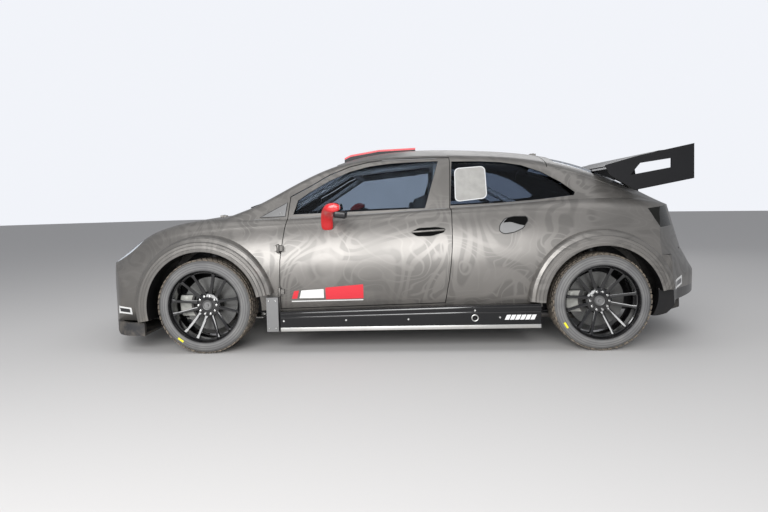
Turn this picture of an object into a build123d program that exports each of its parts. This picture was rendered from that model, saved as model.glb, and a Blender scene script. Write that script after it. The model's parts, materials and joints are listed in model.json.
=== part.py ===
from build123d import *
import math
import os

# Compact two-door rally car. Millimetres, X along the car with the nose at -X,
# the left side at -Y, Z up from the ground. X = 0 is the middle of its length.

# Driving dimensions
WHEELBASE = 2540
LENGTH = 4260
TYRE_OUTER_Y = 900
FLARE_Y = 925
TYRE_RADIUS = 310
TYRE_WIDTH = 215
RIM_RADIUS = 232
RIM_WIDTH = 190
FRONT_AXLE_X = -WHEELBASE / 2
REAR_AXLE_X = WHEELBASE / 2
WHEEL_Y = TYRE_OUTER_Y - TYRE_WIDTH / 2
NOSE_X = -LENGTH / 2
TAIL_X = LENGTH / 2

# Walls, each as thick as the whole panel
BODY_WALL = 30
ROOF_WALL = 25
DOOR_WALL = 62
GLASS_DEPTH = 6
GLASS_THICK = 5
SHUT_GAP = 5
WIDE = 1200
HIGH = 2000

# Plan of the body: radii of the nose, the tail and the corners
NOSE_RADIUS = 1400
TAIL_RADIUS = 1180
CORNER_RADIUS = 190
SIDE_Y = 872
TAIL_LEAN = 18
BUMPER_TOP_Z = 600

# Wheel openings
ARCH_RADIUS = 360
FLARE_RADIUS = 445
TUB_RADIUS = 402
TUB_WALL = 10
FRONT_TUB_INNER_Y = 500
REAR_TUB_INNER_Y = 560
FRONT_FLARE_FEET = (250, 385)
REAR_FLARE_FEET = (320, 395)

# Lower body, station by station:
# x, z_bottom, half_bottom, z_middle, half_middle, z_shoulder, half_shoulder, z_crown, blend
LOWER = [
    (-2200, 205, 700, 400, 760, 540, 700, 575, 40),
    (-1900, 205, 760, 400, 830, 655, 745, 690, 60),
    (-1600, 205, 800, 430, 866, 806, 765, 815, 80),
    (-1270, 205, 805, 450, 872, 868, 765, 887, 85),
    (-800, 205, 795, 500, 862, 872, 770, 892, 60),
    (0, 205, 790, 520, 862, 898, 772, 915, 45),
    (700, 205, 795, 500, 864, 938, 768, 955, 60),
    (1270, 205, 800, 470, 872, 965, 760, 1010, 110),
    (1700, 205, 800, 450, 866, 925, 735, 960, 110),
    (2200, 205, 740, 430, 800, 830, 640, 850, 80),
]

# Cabin above the belt: x, z_rail, half_rail, z_crown, blend
CABIN_BASE_Z = 820
CABIN_HALF_BASE = 765
UPPER = [
    (-1255, 842, 735, 872, 14),
    (-1050, 915, 690, 962, 25),
    (-700, 1090, 645, 1136, 40),
    (-400, 1215, 605, 1268, 50),
    (0, 1265, 585, 1341, 60),
    (500, 1262, 580, 1339, 60),
    (960, 1215, 582, 1298, 70),
    (1300, 1115, 590, 1222, 90),
    (1640, 965, 590, 1072, 90),
    (1990, 845, 560, 885, 20),
]

# Outlines seen from the side (x, z)
DOOR_OUTLINE = [
    (-781, 282), (-773, 601), (-748, 809), (-735, 868), (-722, 1010), (-600, 1073), (-466, 1150),
    (-330, 1204), (-196, 1234), (-60, 1248), (100, 1254), (430, 1254), (404, 1102), (370, 904), (355, 808),
    (344, 714), (326, 556), (306, 395), (299, 309),
]
DOOR_TOP_EDGES = 11
SHUT_FACE_LEAN = 18
DOOR_GLASS = [
    (-700, 893), (-672, 985), (-597, 1036), (-464, 1112), (-330, 1170), (-196, 1204), (-60, 1220),
    (76, 1227), (262, 1230), (169, 918),
]
QUARTER_GLASS = [
    (352, 1226), (547, 1223), (681, 1214), (812, 1192), (940, 1145), (1065, 1073), (1150, 1005),
    (1140, 985), (919, 962), (657, 944), (335, 932),
]
TAIL_LAMP = [(1593, 892), (1740, 908), (1900, 905), (1960, 770), (1792, 775), (1653, 772)]

# Windscreen and rear window seen from above (x, y of the left half)
SCREEN_TOP = [(-1165, 0), (-1060, -610), (-425, -535), (-475, 0)]
REAR_WINDOW_TOP = [(1060, 0), (1060, -480), (1580, -470), (1640, 0)]

# Doors, bonnet and tailgate
DOOR_HINGE_X = -779
DOOR_HINGE_Y = -868
DOOR_HINGE_Z = (400, 680)
HINGE_PIN_RADIUS = 3.5
HINGE_BARREL_RADIUS = 6
BONNET_REAR_X = -1262
BONNET_HINGE_Y = (-430, 430)
BONNET_HINGE_Z = 889
BONNET_HALF_REAR = 640
BONNET_HALF_FRONT = 520
BONNET_WALL = 24
TAILGATE_FRONT_X = 990
TAILGATE_HALF = 585
TAILGATE_BOTTOM_Z = 622
TAILGATE_HINGE_Y = (-120, 120)
TAILGATE_HINGE_Z = 1298

# Wing, seen from the side (x, z)
WING_PLATE = [(1327, 1173), (1546, 1231), (1882, 1299), (1888, 1078), (1519, 1009), (1359, 1109)]
WING_SLOT = [(1486, 1106), (1547, 1181), (1741, 1208), (1742, 1150)]
WING_PLATE_Y = 712
WING_PLATE_THICK = 12

# Wheels and brakes
HUB_FACE_Y = 790
SPOKE_PAIRS = 6
SPOKE_SPREAD_DEG = 11.5
SPOKE_FOOT_DEG = 17
SPOKE_WIDTH = 12
DISC_RADIUS = 178
DISC_OUTER_Y = 752
DISC_THICK = 28
CALIPER_RADIUS = 200
FLOOR_Z = 205
SUBFRAME_LOW_Z = 168
STRUT_FOOT_Y = -666
STRUT_FOOT_Z = 170
STRUT_TOP_Y = -618
STRUT_TOP_Z = 706

# Nose and tail details
GRILLE_HALF = 430
GRILLE_LOW_Z = 255
GRILLE_HIGH_Z = 425
GRILLE_BAR_Z = (262, 290, 318, 346, 374, 402)
GRILLE_BAR_HEIGHT = 8
GRILLE_POST_Y = (-424, -215, 0, 215, 424)
DUCT_INNER_Y = 500
DUCT_OUTER_Y = 690
DUCT_LOW_Z = 262
DUCT_HIGH_Z = 400
LIP_LOW_Z = 118
LIP_HIGH_Z = 205
HEADLAMP_Y = 640
HEADLAMP_Z = 690
HEADLAMP_HALF_WIDE = 118
HEADLAMP_HALF_HIGH = 92
REAR_BUMPER_UNDER = [(1600, 100), (1640, 205), (1712, 222), (1773, 265), (1812, 305), (2300, 305), (2300, 100)]
DIFFUSER_HALF = 520
DIFFUSER_PLATE = [(1640, 192), (1640, 204), (1712, 220), (1773, 263), (1812, 305), (2075, 305), (2075, 292)]
DIFFUSER_FIN = [(1680, 200), (1960, 172), (2085, 192), (2075, 300)]
DIFFUSER_FIN_Y = (-420, -210, 0, 210, 420)

# Exhaust pipe under the floor (x, y, z)
EXHAUST_RADIUS = 22
EXHAUST_PATH = [
    (-970, 100, 183), (900, 100, 183), (1050, 100, 143), (1480, 300, 143), (1640, 600, 178), (1900, 600, 232),
]

# Skirts, jack sockets and roof scoop
SKIRT_Y = 888
SKIRT_SIDE = [(-776, 142), (-776, 270), (316, 297), (890, 303), (890, 150)]
JACK_X = 473
JACK_Z = 219
JACK_RADIUS = 16
JACK_DEPTH = 30
SCOOP_HALF = 165
SCOOP_SIDE = [(-413, 1250), (-413, 1298), (-366, 1320), (-155, 1353), (117, 1362), (117, 1290)]

# Wing sections seen from the side: x, z, chord, tilt up at the back
WING_SECTIONS = [(1350, 1150, 150, 8), (1540, 1200, 300, 14)]

# Door mirror shell: y, x_low, x_high, z_low, z_high
MIRROR_SECTIONS = [(-872, -430, -335, 884, 985), (-950, -432, -330, 880, 988), (-1000, -415, -345, 900, 972)]

# Cabin: steering wheel, seats and cage
WHEEL_CENTRE = Vector(-400, -370, 800)
WHEEL_AXIS = Vector(math.cos(math.radians(22)), 0, math.sin(math.radians(22)))
SEAT_Y = 380
SEAT_HALF = 212
SEAT_SHIFT = -220
DASH_HALF = 560
CAGE_TUBE_RADIUS = 21
CAGE_HOOP_X = 250
CAGE_FOOT_Z = 275
CAGE_HOOP_TOP = (CAGE_HOOP_X, -470, 1222)
CAGE_FRONT_TOP = (-330, -470, 1165)
CAGE_WAIST = (CAGE_HOOP_X, -680, 800)
CAGE_COWL = (-820, -640, 868)
CAGE_STAY_X = 1150
CAGE_STAY_Z = TYRE_RADIUS + math.sqrt((TUB_RADIUS + TUB_WALL + CAGE_TUBE_RADIUS) ** 2 - (REAR_AXLE_X - CAGE_STAY_X) ** 2)
CAGE_BARS = [
    ((CAGE_HOOP_X, -700, CAGE_FOOT_Z), CAGE_WAIST),
    (CAGE_WAIST, CAGE_HOOP_TOP),
    (CAGE_HOOP_TOP, CAGE_FRONT_TOP),
    (CAGE_FRONT_TOP, CAGE_COWL),
    (CAGE_COWL, (-820, -700, CAGE_FOOT_Z)),
    ((-820, -672, 600), (CAGE_HOOP_X, -697, 330)),
    ((-820, -696, 330), (CAGE_HOOP_X, -690, 620)),
    (CAGE_HOOP_TOP, (CAGE_STAY_X, -680, CAGE_STAY_Z)),
]


def mirrored(part):
    """The same piece on the right side of the car."""
    return mirror(part, about=Plane.XZ)


def both(part):
    """A left piece and its right twin in one part."""
    return part + mirrored(part)


def station_wire(x, z_bottom, half_bottom, z_middle, half_middle, z_shoulder, half_shoulder, z_crown, blend):
    """A closed cross section: floor, bowed sides, rounded shoulders and a crowned top."""
    bottom = Vector(x, half_bottom, z_bottom)
    middle = Vector(x, half_middle, z_middle)
    corner = Vector(x, half_shoulder, z_shoulder)
    crown = Vector(x, 0, z_crown)
    down = (middle - corner).normalized()
    inward = (crown - corner).normalized()
    side_end = corner + down * blend
    top_end = corner + inward * blend
    chord = (side_end + top_end) * 0.5
    bow = chord + (corner - chord) * 0.42

    def other(point):
        return Vector(point.X, -point.Y, point.Z)

    return Wire([
        Line(other(bottom), bottom),
        ThreePointArc(bottom, middle, side_end),
        ThreePointArc(side_end, bow, top_end),
        ThreePointArc(top_end, crown, other(top_end)),
        ThreePointArc(other(top_end), other(bow), other(side_end)),
        ThreePointArc(other(side_end), other(middle), other(bottom)),
    ])


def lower_loft(inset):
    """The lower body's loft, drawn in by an inset."""
    wires = []
    for x, zb, yb, zm, ym, zs, ys, zc, blend in LOWER:
        wires.append(station_wire(x, zb + inset, yb - inset, zm, ym - inset, zs - inset, ys - inset,
                                  zc - inset, blend * 0.9 if inset else blend))
    return Part() + Solid.make_loft(wires, False)


def upper_loft(inset):
    """The cabin's loft from the belt to the roof, drawn in by an inset."""
    wires = []
    base_z = CABIN_BASE_Z - (120 if inset else 0)
    for x, zr, yr, zc, blend in UPPER:
        rail_z = zr - inset
        rail_y = yr - inset
        base_y = CABIN_HALF_BASE - inset
        middle_z = (base_z + rail_z) / 2
        middle_y = (base_y + rail_y) / 2 + 6
        wires.append(station_wire(x, base_z, base_y, middle_z, middle_y, rail_z, rail_y, zc - inset, blend))
    return Part() + Solid.make_loft(wires, False)


def plan_sketch(inset):
    """The car seen from above: nose arc, tail arc and rounded corners."""
    nose = Pos(NOSE_X + NOSE_RADIUS, 0) * Circle(NOSE_RADIUS)
    tail = Pos(TAIL_X - TAIL_RADIUS, 0) * Circle(TAIL_RADIUS)
    strip = Rectangle(LENGTH, 2 * SIDE_Y)
    front = nose & Pos(NOSE_X / 2, 0) * Rectangle(LENGTH / 2, 2 * SIDE_Y)
    rear = tail & Pos(TAIL_X / 2, 0) * Rectangle(LENGTH / 2, 2 * SIDE_Y)
    middle = Rectangle(700, 2 * SIDE_Y)
    outline = (front + rear + middle) & strip
    corners = [v for v in outline.vertices() if abs(v.X) > 1200]
    outline = fillet(corners, CORNER_RADIUS)
    if inset:
        outline = offset(outline, amount=-inset)
    return outline


def plan_prism(inset, z_low, z_high):
    """The plan outline raised between two heights."""
    return extrude(Pos(0, 0, z_low) * plan_sketch(inset), z_high - z_low)


def tail_wedge(inset):
    """What lies behind the leaning tail panel, above the rear bumper."""
    foot_x = TAIL_X - 98 - inset
    keep = Cylinder(TAIL_RADIUS, 3000)
    keep = Pos(foot_x, 0, BUMPER_TOP_Z) * Rot(0, -TAIL_LEAN, 0) * Pos(-TAIL_RADIUS, 0, 0) * keep
    block = Pos(TAIL_X, 0, BUMPER_TOP_Z + HIGH / 2) * Box(1400, 2 * WIDE, HIGH)
    return block - keep


def hull(lower_inset, upper_inset):
    """The closed body form, drawn in by the insets below and above the belt."""
    lower = lower_loft(lower_inset) & plan_prism(lower_inset, 0, HIGH)
    upper = upper_loft(upper_inset) & plan_prism(upper_inset, 0, HIGH)
    return (lower + upper) - tail_wedge(lower_inset)


def side_prism(points, y_from, y_to):
    """An outline seen from the side, cut through the left side between two depths."""
    face = make_face(Polyline([(x, z) for x, z in points], close=True))
    sheet = Plane(origin=(0, y_to, 0), x_dir=(1, 0, 0), z_dir=(0, -1, 0)) * face
    return extrude(sheet, y_to - y_from)


def top_prism(half_points, z_low, z_high):
    """A symmetric outline seen from above, raised between two heights."""
    left = [(x, y) for x, y in half_points]
    right = [(x, -y) for x, y in reversed(half_points[1:-1])]
    face = make_face(Polyline(left + right, close=True))
    return extrude(Pos(0, 0, z_low) * face, z_high - z_low)


def door_prism(grow):
    """The left door's opening, narrowing inwards at its rear shut face."""
    outer_y = -WIDE
    inner_y = -430
    reference_y = -860
    lean = math.tan(math.radians(SHUT_FACE_LEAN))
    wires = []
    for y in (outer_y, inner_y):
        points = []
        for i, (x, z) in enumerate(DOOR_OUTLINE):
            rear = i >= DOOR_TOP_EDGES
            shift = -(y - reference_y) * lean if rear else 0
            grow_x = grow if rear else -grow
            grow_z = 0
            if 4 <= i <= DOOR_TOP_EDGES:
                grow_z = grow
            if i == 0 or i == len(DOOR_OUTLINE) - 1:
                grow_z = -grow
            points.append((x + shift + grow_x, y, z + grow_z))
        wires.append(Wire(Polyline(points, close=True).edges()))
    return Part() + Solid.make_loft(wires, True)


def wheel_cylinder(axle_x, radius, y_from, y_to):
    """A cylinder about the left end of an axle."""
    length = y_to - y_from
    return Pos(axle_x, (y_from + y_to) / 2, TYRE_RADIUS) * Rot(90, 0, 0) * Cylinder(radius, length)


def wheel_wells():
    """Space round the left wheels: a skin opening and a wider tub behind it."""
    wells = Part()
    for axle_x, inner_y in ((FRONT_AXLE_X, FRONT_TUB_INNER_Y), (REAR_AXLE_X, REAR_TUB_INNER_Y)):
        wells += wheel_cylinder(axle_x, ARCH_RADIUS, -WIDE, -inner_y)
        wells += wheel_cylinder(axle_x, TUB_RADIUS, -825, -inner_y)
        wells += Pos(axle_x, -(825 + inner_y) / 2, 140) * Box(2 * TUB_RADIUS, 825 - inner_y, 340)
    return wells


def wheel_tubs():
    """Solid housings that, once the wells are cut, leave thin tub walls."""
    tubs = Part()
    for axle_x, inner_y in ((FRONT_AXLE_X, FRONT_TUB_INNER_Y), (REAR_AXLE_X, REAR_TUB_INNER_Y)):
        tubs += wheel_cylinder(axle_x, TUB_RADIUS + TUB_WALL, -850, -(inner_y - TUB_WALL))
    return tubs


def flare(axle_x, front_foot_z, rear_foot_z):
    """A stepped wheel-arch flare on the left side, cut off at its feet."""
    band = wheel_cylinder(axle_x, FLARE_RADIUS, -FLARE_Y, -775)
    step = wheel_cylinder(axle_x, FLARE_RADIUS, -FLARE_Y, -FLARE_Y + 22)
    step -= wheel_cylinder(axle_x, FLARE_RADIUS - 28, -FLARE_Y - 1, -FLARE_Y + 23)
    band -= step
    band -= wheel_cylinder(axle_x, ARCH_RADIUS, -WIDE, 0)
    band -= Pos(axle_x - 300, -850, front_foot_z - 300) * Box(600, 400, 600)
    band -= Pos(axle_x + 300, -850, rear_foot_z - 300) * Box(600, 400, 600)
    return band


def tube(start, end, radius):
    """A round bar between two points, with rounded ends so that bars join well."""
    path = Vector(*end) - Vector(*start)
    plane = Plane(origin=start, z_dir=path)
    bar = extrude(plane * Circle(radius), path.length)
    return bar + [Pos(*start) * Sphere(radius), Pos(*end) * Sphere(radius)]


def block(x_from, x_to, y_from, y_to, z_from, z_to):
    """A box given by its limits."""
    size = (x_to - x_from, y_to - y_from, z_to - z_from)
    middle = ((x_from + x_to) / 2, (y_from + y_to) / 2, (z_from + z_to) / 2)
    return Pos(*middle) * Box(*size)


def y_disc(x, z, radius, y_from, y_to):
    """A cylinder along Y between two depths."""
    return Pos(x, (y_from + y_to) / 2, z) * Rot(90, 0, 0) * Cylinder(radius, y_to - y_from)


def revolved(profile, axle_x):
    """A profile of (y, radius) points turned about an axle."""
    face = make_face(Polyline([(y, r) for y, r in profile], close=True))
    sheet = Plane(origin=(0, 0, 0), x_dir=(0, 1, 0), z_dir=(1, 0, 0)) * face
    return Pos(axle_x, 0, TYRE_RADIUS) * revolve(sheet, Axis.Y, 360)


def bumper_trim(axle_x, foot_z):
    """What a bumper leaves free round the left wheel: the flare, and the arch below its foot."""
    band = wheel_cylinder(axle_x, FLARE_RADIUS + 3, -WIDE, -400)
    band -= block(axle_x - 600, axle_x + 600, -WIDE - 1, -399, -400, foot_z - 3)
    return band + wheel_cylinder(axle_x, ARCH_RADIUS, -WIDE, -400)


def hinge(plane, depth, pocket):
    """A pin between two lugs, a barrel that turns on it, and the room that both need.

    The plane's Z is the hinge axis, its X points to the moving panel and its Y outwards.
    The pocket is how far the strap runs over the fixed pillar before it meets its panel.
    """
    fixed = Cylinder(HINGE_PIN_RADIUS, 44)
    for side in (-1, 1):
        lug = Pos(0, 0, side * 18.5) * Cylinder(HINGE_BARREL_RADIUS, 5)
        low, high = side * 18.5 - 2.5, side * 18.5 + 2.5
        fixed += [lug, block(-22, -7, -depth, 3, low, high), block(-8, -4.5, -8, 3, low, high)]
    moving = Cylinder(HINGE_BARREL_RADIUS, 31) + block(1, 22 + pocket / 2, -depth, 3, -15.5, 15.5)
    moving -= Cylinder(HINGE_PIN_RADIUS + 0.05, 60)
    room = Cylinder(HINGE_BARREL_RADIUS + SHUT_GAP, 46)
    if pocket:
        room += block(-3, pocket, -depth - 3, 3, -18.5, 18.5)
    return plane * fixed, plane * moving, plane * room


def hinge_sets():
    """Fixed lugs, moving barrels and rooms of the door, bonnet and tailgate hinges."""
    rows = {"door": [], "bonnet": [], "tailgate": []}
    for z in DOOR_HINGE_Z:
        place = Plane(origin=(DOOR_HINGE_X, DOOR_HINGE_Y, z), x_dir=(1, 0, 0), z_dir=(0, 0, -1))
        rows["door"].append(hinge(place, 34, 15))
    for y in BONNET_HINGE_Y:
        place = Plane(origin=(BONNET_REAR_X, y, BONNET_HINGE_Z), x_dir=(-1, 0, 0), z_dir=(0, 1, 0))
        rows["bonnet"].append(hinge(place, 24, 0))
    for y in TAILGATE_HINGE_Y:
        place = Plane(origin=(TAILGATE_FRONT_X, y, TAILGATE_HINGE_Z), x_dir=(1, 0, 0), z_dir=(0, -1, 0))
        rows["tailgate"].append(hinge(place, 22, 0))
    sets = {}
    for name, triples in rows.items():
        fixed, moving, room = zip(*triples)
        sets[name] = (list(fixed), list(moving), list(room))
    return sets


def front_grille():
    """Bars across the bumper's openings, joined by posts."""
    ring = plan_sketch(14) - plan_sketch(26)
    bars = []
    for z in GRILLE_BAR_Z:
        bars.append(extrude(Pos(0, 0, z) * ring, GRILLE_BAR_HEIGHT))
    window = block(NOSE_X - 10, -1850, -GRILLE_HALF, GRILLE_HALF, GRILLE_LOW_Z, GRILLE_HIGH_Z)
    wall = extrude(Pos(0, 0, GRILLE_LOW_Z) * ring, GRILLE_HIGH_Z - GRILLE_LOW_Z)
    posts = [block(NOSE_X - 10, -1850, y - 6, y + 6, GRILLE_LOW_Z, GRILLE_HIGH_Z) for y in GRILLE_POST_Y]
    return (Part() + [bar & window for bar in bars]) + [wall & post for post in posts]


def wheel_pieces(axle_x):
    """Tyre, rim and brake disc of a left wheel."""
    outer = TYRE_OUTER_Y
    inner = TYRE_OUTER_Y - TYRE_WIDTH
    tyre = revolved([
        (-inner - 8, RIM_RADIUS), (-inner, 262), (-inner - 3, 288), (-inner - 22, TYRE_RADIUS - 3),
        (-WHEEL_Y, TYRE_RADIUS), (-outer + 22, TYRE_RADIUS - 3), (-outer + 3, 288), (-outer, 262),
        (-outer + 8, RIM_RADIUS),
    ], axle_x)
    rim = revolved([
        (-inner - 8, RIM_RADIUS), (-inner - 6, RIM_RADIUS + 7), (-inner - 2, RIM_RADIUS + 7),
        (-inner - 2, 222), (-outer + 60, 214), (-outer + 14, 222), (-outer + 4, RIM_RADIUS + 7),
        (-outer + 8, RIM_RADIUS + 7), (-outer + 8, RIM_RADIUS),
    ], axle_x)
    rim_pieces = [revolved([
        (-HUB_FACE_Y, 0), (-HUB_FACE_Y, 78), (-HUB_FACE_Y - 14, 84), (-HUB_FACE_Y - 26, 60), (-HUB_FACE_Y - 30, 0),
    ], axle_x)]
    for pair in range(SPOKE_PAIRS):
        for side in (-1, 1):
            angle = math.radians(360 / SPOKE_PAIRS * pair + side * SPOKE_SPREAD_DEG)
            foot_angle = math.radians(360 / SPOKE_PAIRS * pair + side * SPOKE_FOOT_DEG)
            foot = (68 * math.cos(foot_angle), 68 * math.sin(foot_angle))
            tip = (219 * math.cos(angle), 219 * math.sin(angle))
            rim_pieces.append(spoke(axle_x, foot, tip))
    rim += rim_pieces
    disc = y_disc(axle_x, TYRE_RADIUS, DISC_RADIUS, -DISC_OUTER_Y, -DISC_OUTER_Y + DISC_THICK)
    disc -= y_disc(axle_x, TYRE_RADIUS, 90, -DISC_OUTER_Y - 1, -DISC_OUTER_Y + DISC_THICK + 1)
    disc += revolved([
        (-HUB_FACE_Y, 0), (-HUB_FACE_Y, 78), (-DISC_OUTER_Y, 86), (-DISC_OUTER_Y, 98),
        (-DISC_OUTER_Y + DISC_THICK, 98), (-DISC_OUTER_Y + DISC_THICK, 70), (-DISC_OUTER_Y + DISC_THICK, 0),
    ], axle_x)
    return tyre, rim, disc


def spoke(axle_x, foot, tip):
    """One thin spoke from the hub to the rim, leaning outwards."""
    direction = math.atan2(tip[1] - foot[1], tip[0] - foot[0])
    length = math.hypot(tip[0] - foot[0], tip[1] - foot[1])
    side = make_face(Polyline([
        (0, -HUB_FACE_Y - 4), (length, -TYRE_OUTER_Y + 40), (length, -TYRE_OUTER_Y + 14), (0, -HUB_FACE_Y - 30),
    ], close=True))
    blade = extrude(side, SPOKE_WIDTH / 2, both=True)
    blade = Rot(0, -math.degrees(direction), 0) * blade
    return Pos(axle_x + foot[0], 0, TYRE_RADIUS + foot[1]) * blade


def caliper(axle_x):
    """A brake caliper ahead of the axle, straddling the disc."""
    low_y = -DISC_OUTER_Y - 26
    high_y = -DISC_OUTER_Y + DISC_THICK + 24
    body = y_disc(axle_x, TYRE_RADIUS, CALIPER_RADIUS, low_y, high_y)
    body -= y_disc(axle_x, TYRE_RADIUS, 112, low_y - 1, high_y + 1)
    body = body & block(axle_x - 240, axle_x, -900, -600, TYRE_RADIUS - 78, TYRE_RADIUS + 62)
    slot = y_disc(axle_x, TYRE_RADIUS, DISC_RADIUS + 6, -DISC_OUTER_Y - 5.5, -DISC_OUTER_Y + DISC_THICK + 5.5)
    return body - slot


def hub_carrier(axle_x):
    """The upright that carries a left wheel, with its bearing and caliper bracket."""
    face_y = -DISC_OUTER_Y + DISC_THICK + 0.5
    bearing = y_disc(axle_x, TYRE_RADIUS, 62, face_y, -650)
    upright = block(axle_x - 45, axle_x + 45, -688, -645, 178, 470)
    bracket = block(axle_x - 170, axle_x, -704, -668, TYRE_RADIUS - 50, TYRE_RADIUS + 40)
    return bearing + [upright, bracket, caliper(axle_x)]


def strut(axle_x):
    """Spring and damper from the upright to the top of the wheel tub."""
    foot = Vector(axle_x, STRUT_FOOT_Y, STRUT_FOOT_Z)
    top = Vector(axle_x, STRUT_TOP_Y, STRUT_TOP_Z)
    path = top - foot
    plane = Plane(origin=foot, z_dir=path)
    lower = extrude(plane * Pos(0, 0, 240) * Circle(26), 180)
    spring = extrude(plane * Pos(0, 0, 330) * Circle(38), 190)
    rod = extrude(plane * Pos(0, 0, 500) * Circle(14), path.length - 505)
    cap = Pos(axle_x, STRUT_TOP_Y, STRUT_TOP_Z - 5) * Cylinder(38, 10)
    return lower + [spring, rod, cap]


def front_arms():
    """The front subframe with the left lower arm, mirrored for the right."""
    rail = block(-1500, -1000, -360, -300, SUBFRAME_LOW_Z, FLOOR_Z)
    arm = extrude(Pos(0, 0, 150) * make_face(Polyline([
        (-1420, -330), (-1290, -640), (-1250, -640), (-1100, -330), (-1160, -330), (-1270, -560), (-1360, -330),
    ], close=True)), 22)
    joint = Pos(FRONT_AXLE_X, -652, 161) * Cylinder(26, 22)
    pin = Pos(FRONT_AXLE_X, -664, 172.3) * Cylinder(10, 10)
    side = rail + [arm, joint, pin]
    bars = [
        block(-1500, -1440, -320, 320, SUBFRAME_LOW_Z, FLOOR_Z),
        block(-1060, -1000, -320, 320, SUBFRAME_LOW_Z, FLOOR_Z),
    ]
    return both(side) + bars


def rear_arms():
    """The rear subframe with its arms, carriers and struts."""
    rail = block(1080, 1460, -400, -340, SUBFRAME_LOW_Z, FLOOR_Z)
    arm = block(1240, 1300, -660, -380, 172, 200)
    trailing = tube((860, -560, 182), (1240, -655, 184), 20)
    side = rail + [arm, trailing, hub_carrier(REAR_AXLE_X), strut(REAR_AXLE_X)]
    bars = [
        block(1080, 1140, -360, 360, SUBFRAME_LOW_Z, FLOOR_Z),
        block(1400, 1460, -360, 360, SUBFRAME_LOW_Z, FLOOR_Z),
    ]
    return both(side) + bars


def roll_cage():
    """Main hoop, front hoops, roof bars, door bars and stays of steel tube."""
    bars = []
    for start, end in CAGE_BARS:
        bars.append(tube(start, end, CAGE_TUBE_RADIUS))
    left = Part() + bars
    cross = [
        tube(CAGE_HOOP_TOP, (CAGE_HOOP_TOP[0], -CAGE_HOOP_TOP[1], CAGE_HOOP_TOP[2]), CAGE_TUBE_RADIUS),
        tube(CAGE_FRONT_TOP, (CAGE_FRONT_TOP[0], -CAGE_FRONT_TOP[1], CAGE_FRONT_TOP[2]), CAGE_TUBE_RADIUS),
        tube((CAGE_HOOP_X, -682, 760), (CAGE_HOOP_X, 682, 760), CAGE_TUBE_RADIUS),
    ]
    return both(left) + cross


def seat(middle_y):
    """A racing bucket seat: a shell with raised sides on two rails."""
    spine = make_face(Polyline([
        (-80, 330), (160, 300), (250, 330), (430, 980), (395, 1010), (330, 980), (205, 420), (130, 345), (-80, 372),
    ], close=True))
    back = extrude(Plane.XZ * spine, SEAT_HALF - 10, both=True)
    wing = make_face(Polyline([
        (-90, 318), (160, 290), (262, 322), (445, 975), (330, 985), (250, 800), (120, 760), (110, 560), (-60, 470),
    ], close=True))
    sides = []
    for side in (-1, 1):
        sides.append(Pos(0, side * (SEAT_HALF - 2), 0) * extrude(Plane.XZ * wing, 12, both=True))
    rails = [block(-40, 200, -190, -160, 254, 320), block(-40, 200, 160, 190, 254, 320)]
    return Pos(SEAT_SHIFT, middle_y, 0) * (back + sides + rails)


def dashboard():
    """Dashboard and steering column."""
    side = make_face(Polyline([
        (-970, 640), (-970, 836), (-850, 856), (-700, 850), (-650, 800), (-680, 700), (-760, 620),
    ], close=True))
    panel = extrude(Plane.XZ * side, DASH_HALF, both=True)
    end = WHEEL_CENTRE - WHEEL_AXIS * 34.5
    column = tube(tuple(WHEEL_CENTRE - WHEEL_AXIS * 330), tuple(end - WHEEL_AXIS * 24), 22)
    stub = extrude(Plane(origin=end - WHEEL_AXIS * 40, z_dir=WHEEL_AXIS) * Circle(16), 40)
    return panel + [column, stub]


def steering_wheel():
    """A three-spoke wheel on its hub."""
    plane = Plane(origin=WHEEL_CENTRE, z_dir=WHEEL_AXIS)
    ring = Torus(165, 14)
    hub = Pos(0, 0, -17) * Cylinder(38, 34)
    spokes = []
    for angle in (0, 120, 240):
        spokes.append(Rot(0, 0, angle) * Pos(85, 0, -6) * Box(150, 30, 8))
    return plane * (ring + [hub] + spokes)


def mirror_piece():
    """The left door mirror: foot, arm and a shell that narrows outwards."""
    foot = block(-500, -420, -868, -760, 788, 812)
    arm = tube((-462, -846, 800), (-410, -905, 925), 14)
    wires = []
    for y, x_low, x_high, z_low, z_high in MIRROR_SECTIONS:
        points = [(x_low, y, z_low), (x_high, y, z_low - 6), (x_high + 6, y, z_high), (x_low + 18, y, z_high + 6)]
        wires.append(Wire(Polyline(points, close=True).edges()))
    return foot + [arm, Part() + Solid.make_loft(wires, True)]


def rear_wing():
    """Two end plates, two wing sections and the stays on the tailgate."""
    plate = side_prism(WING_PLATE, -WING_PLATE_Y - WING_PLATE_THICK, -WING_PLATE_Y)
    plate -= side_prism(WING_SLOT, -WIDE, -400)
    sections = []
    for x, z, chord, tilt in WING_SECTIONS:
        profile = make_face(Polyline([
            (0, 0), (chord * 0.12, chord * 0.07), (chord * 0.45, chord * 0.09), (chord, 0),
            (chord * 0.45, -chord * 0.03), (chord * 0.1, -chord * 0.04),
        ], close=True))
        blade = extrude(Plane.XZ * profile, WING_PLATE_Y + 1, both=True)
        sections.append(Pos(x, 0, z) * Rot(0, -tilt, 0) * blade)
    stay = side_prism([(1480, 1020), (1570, 1212), (1650, 1232), (1700, 960)], -330, -318)
    return both(plate + [stay]) + sections


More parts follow.
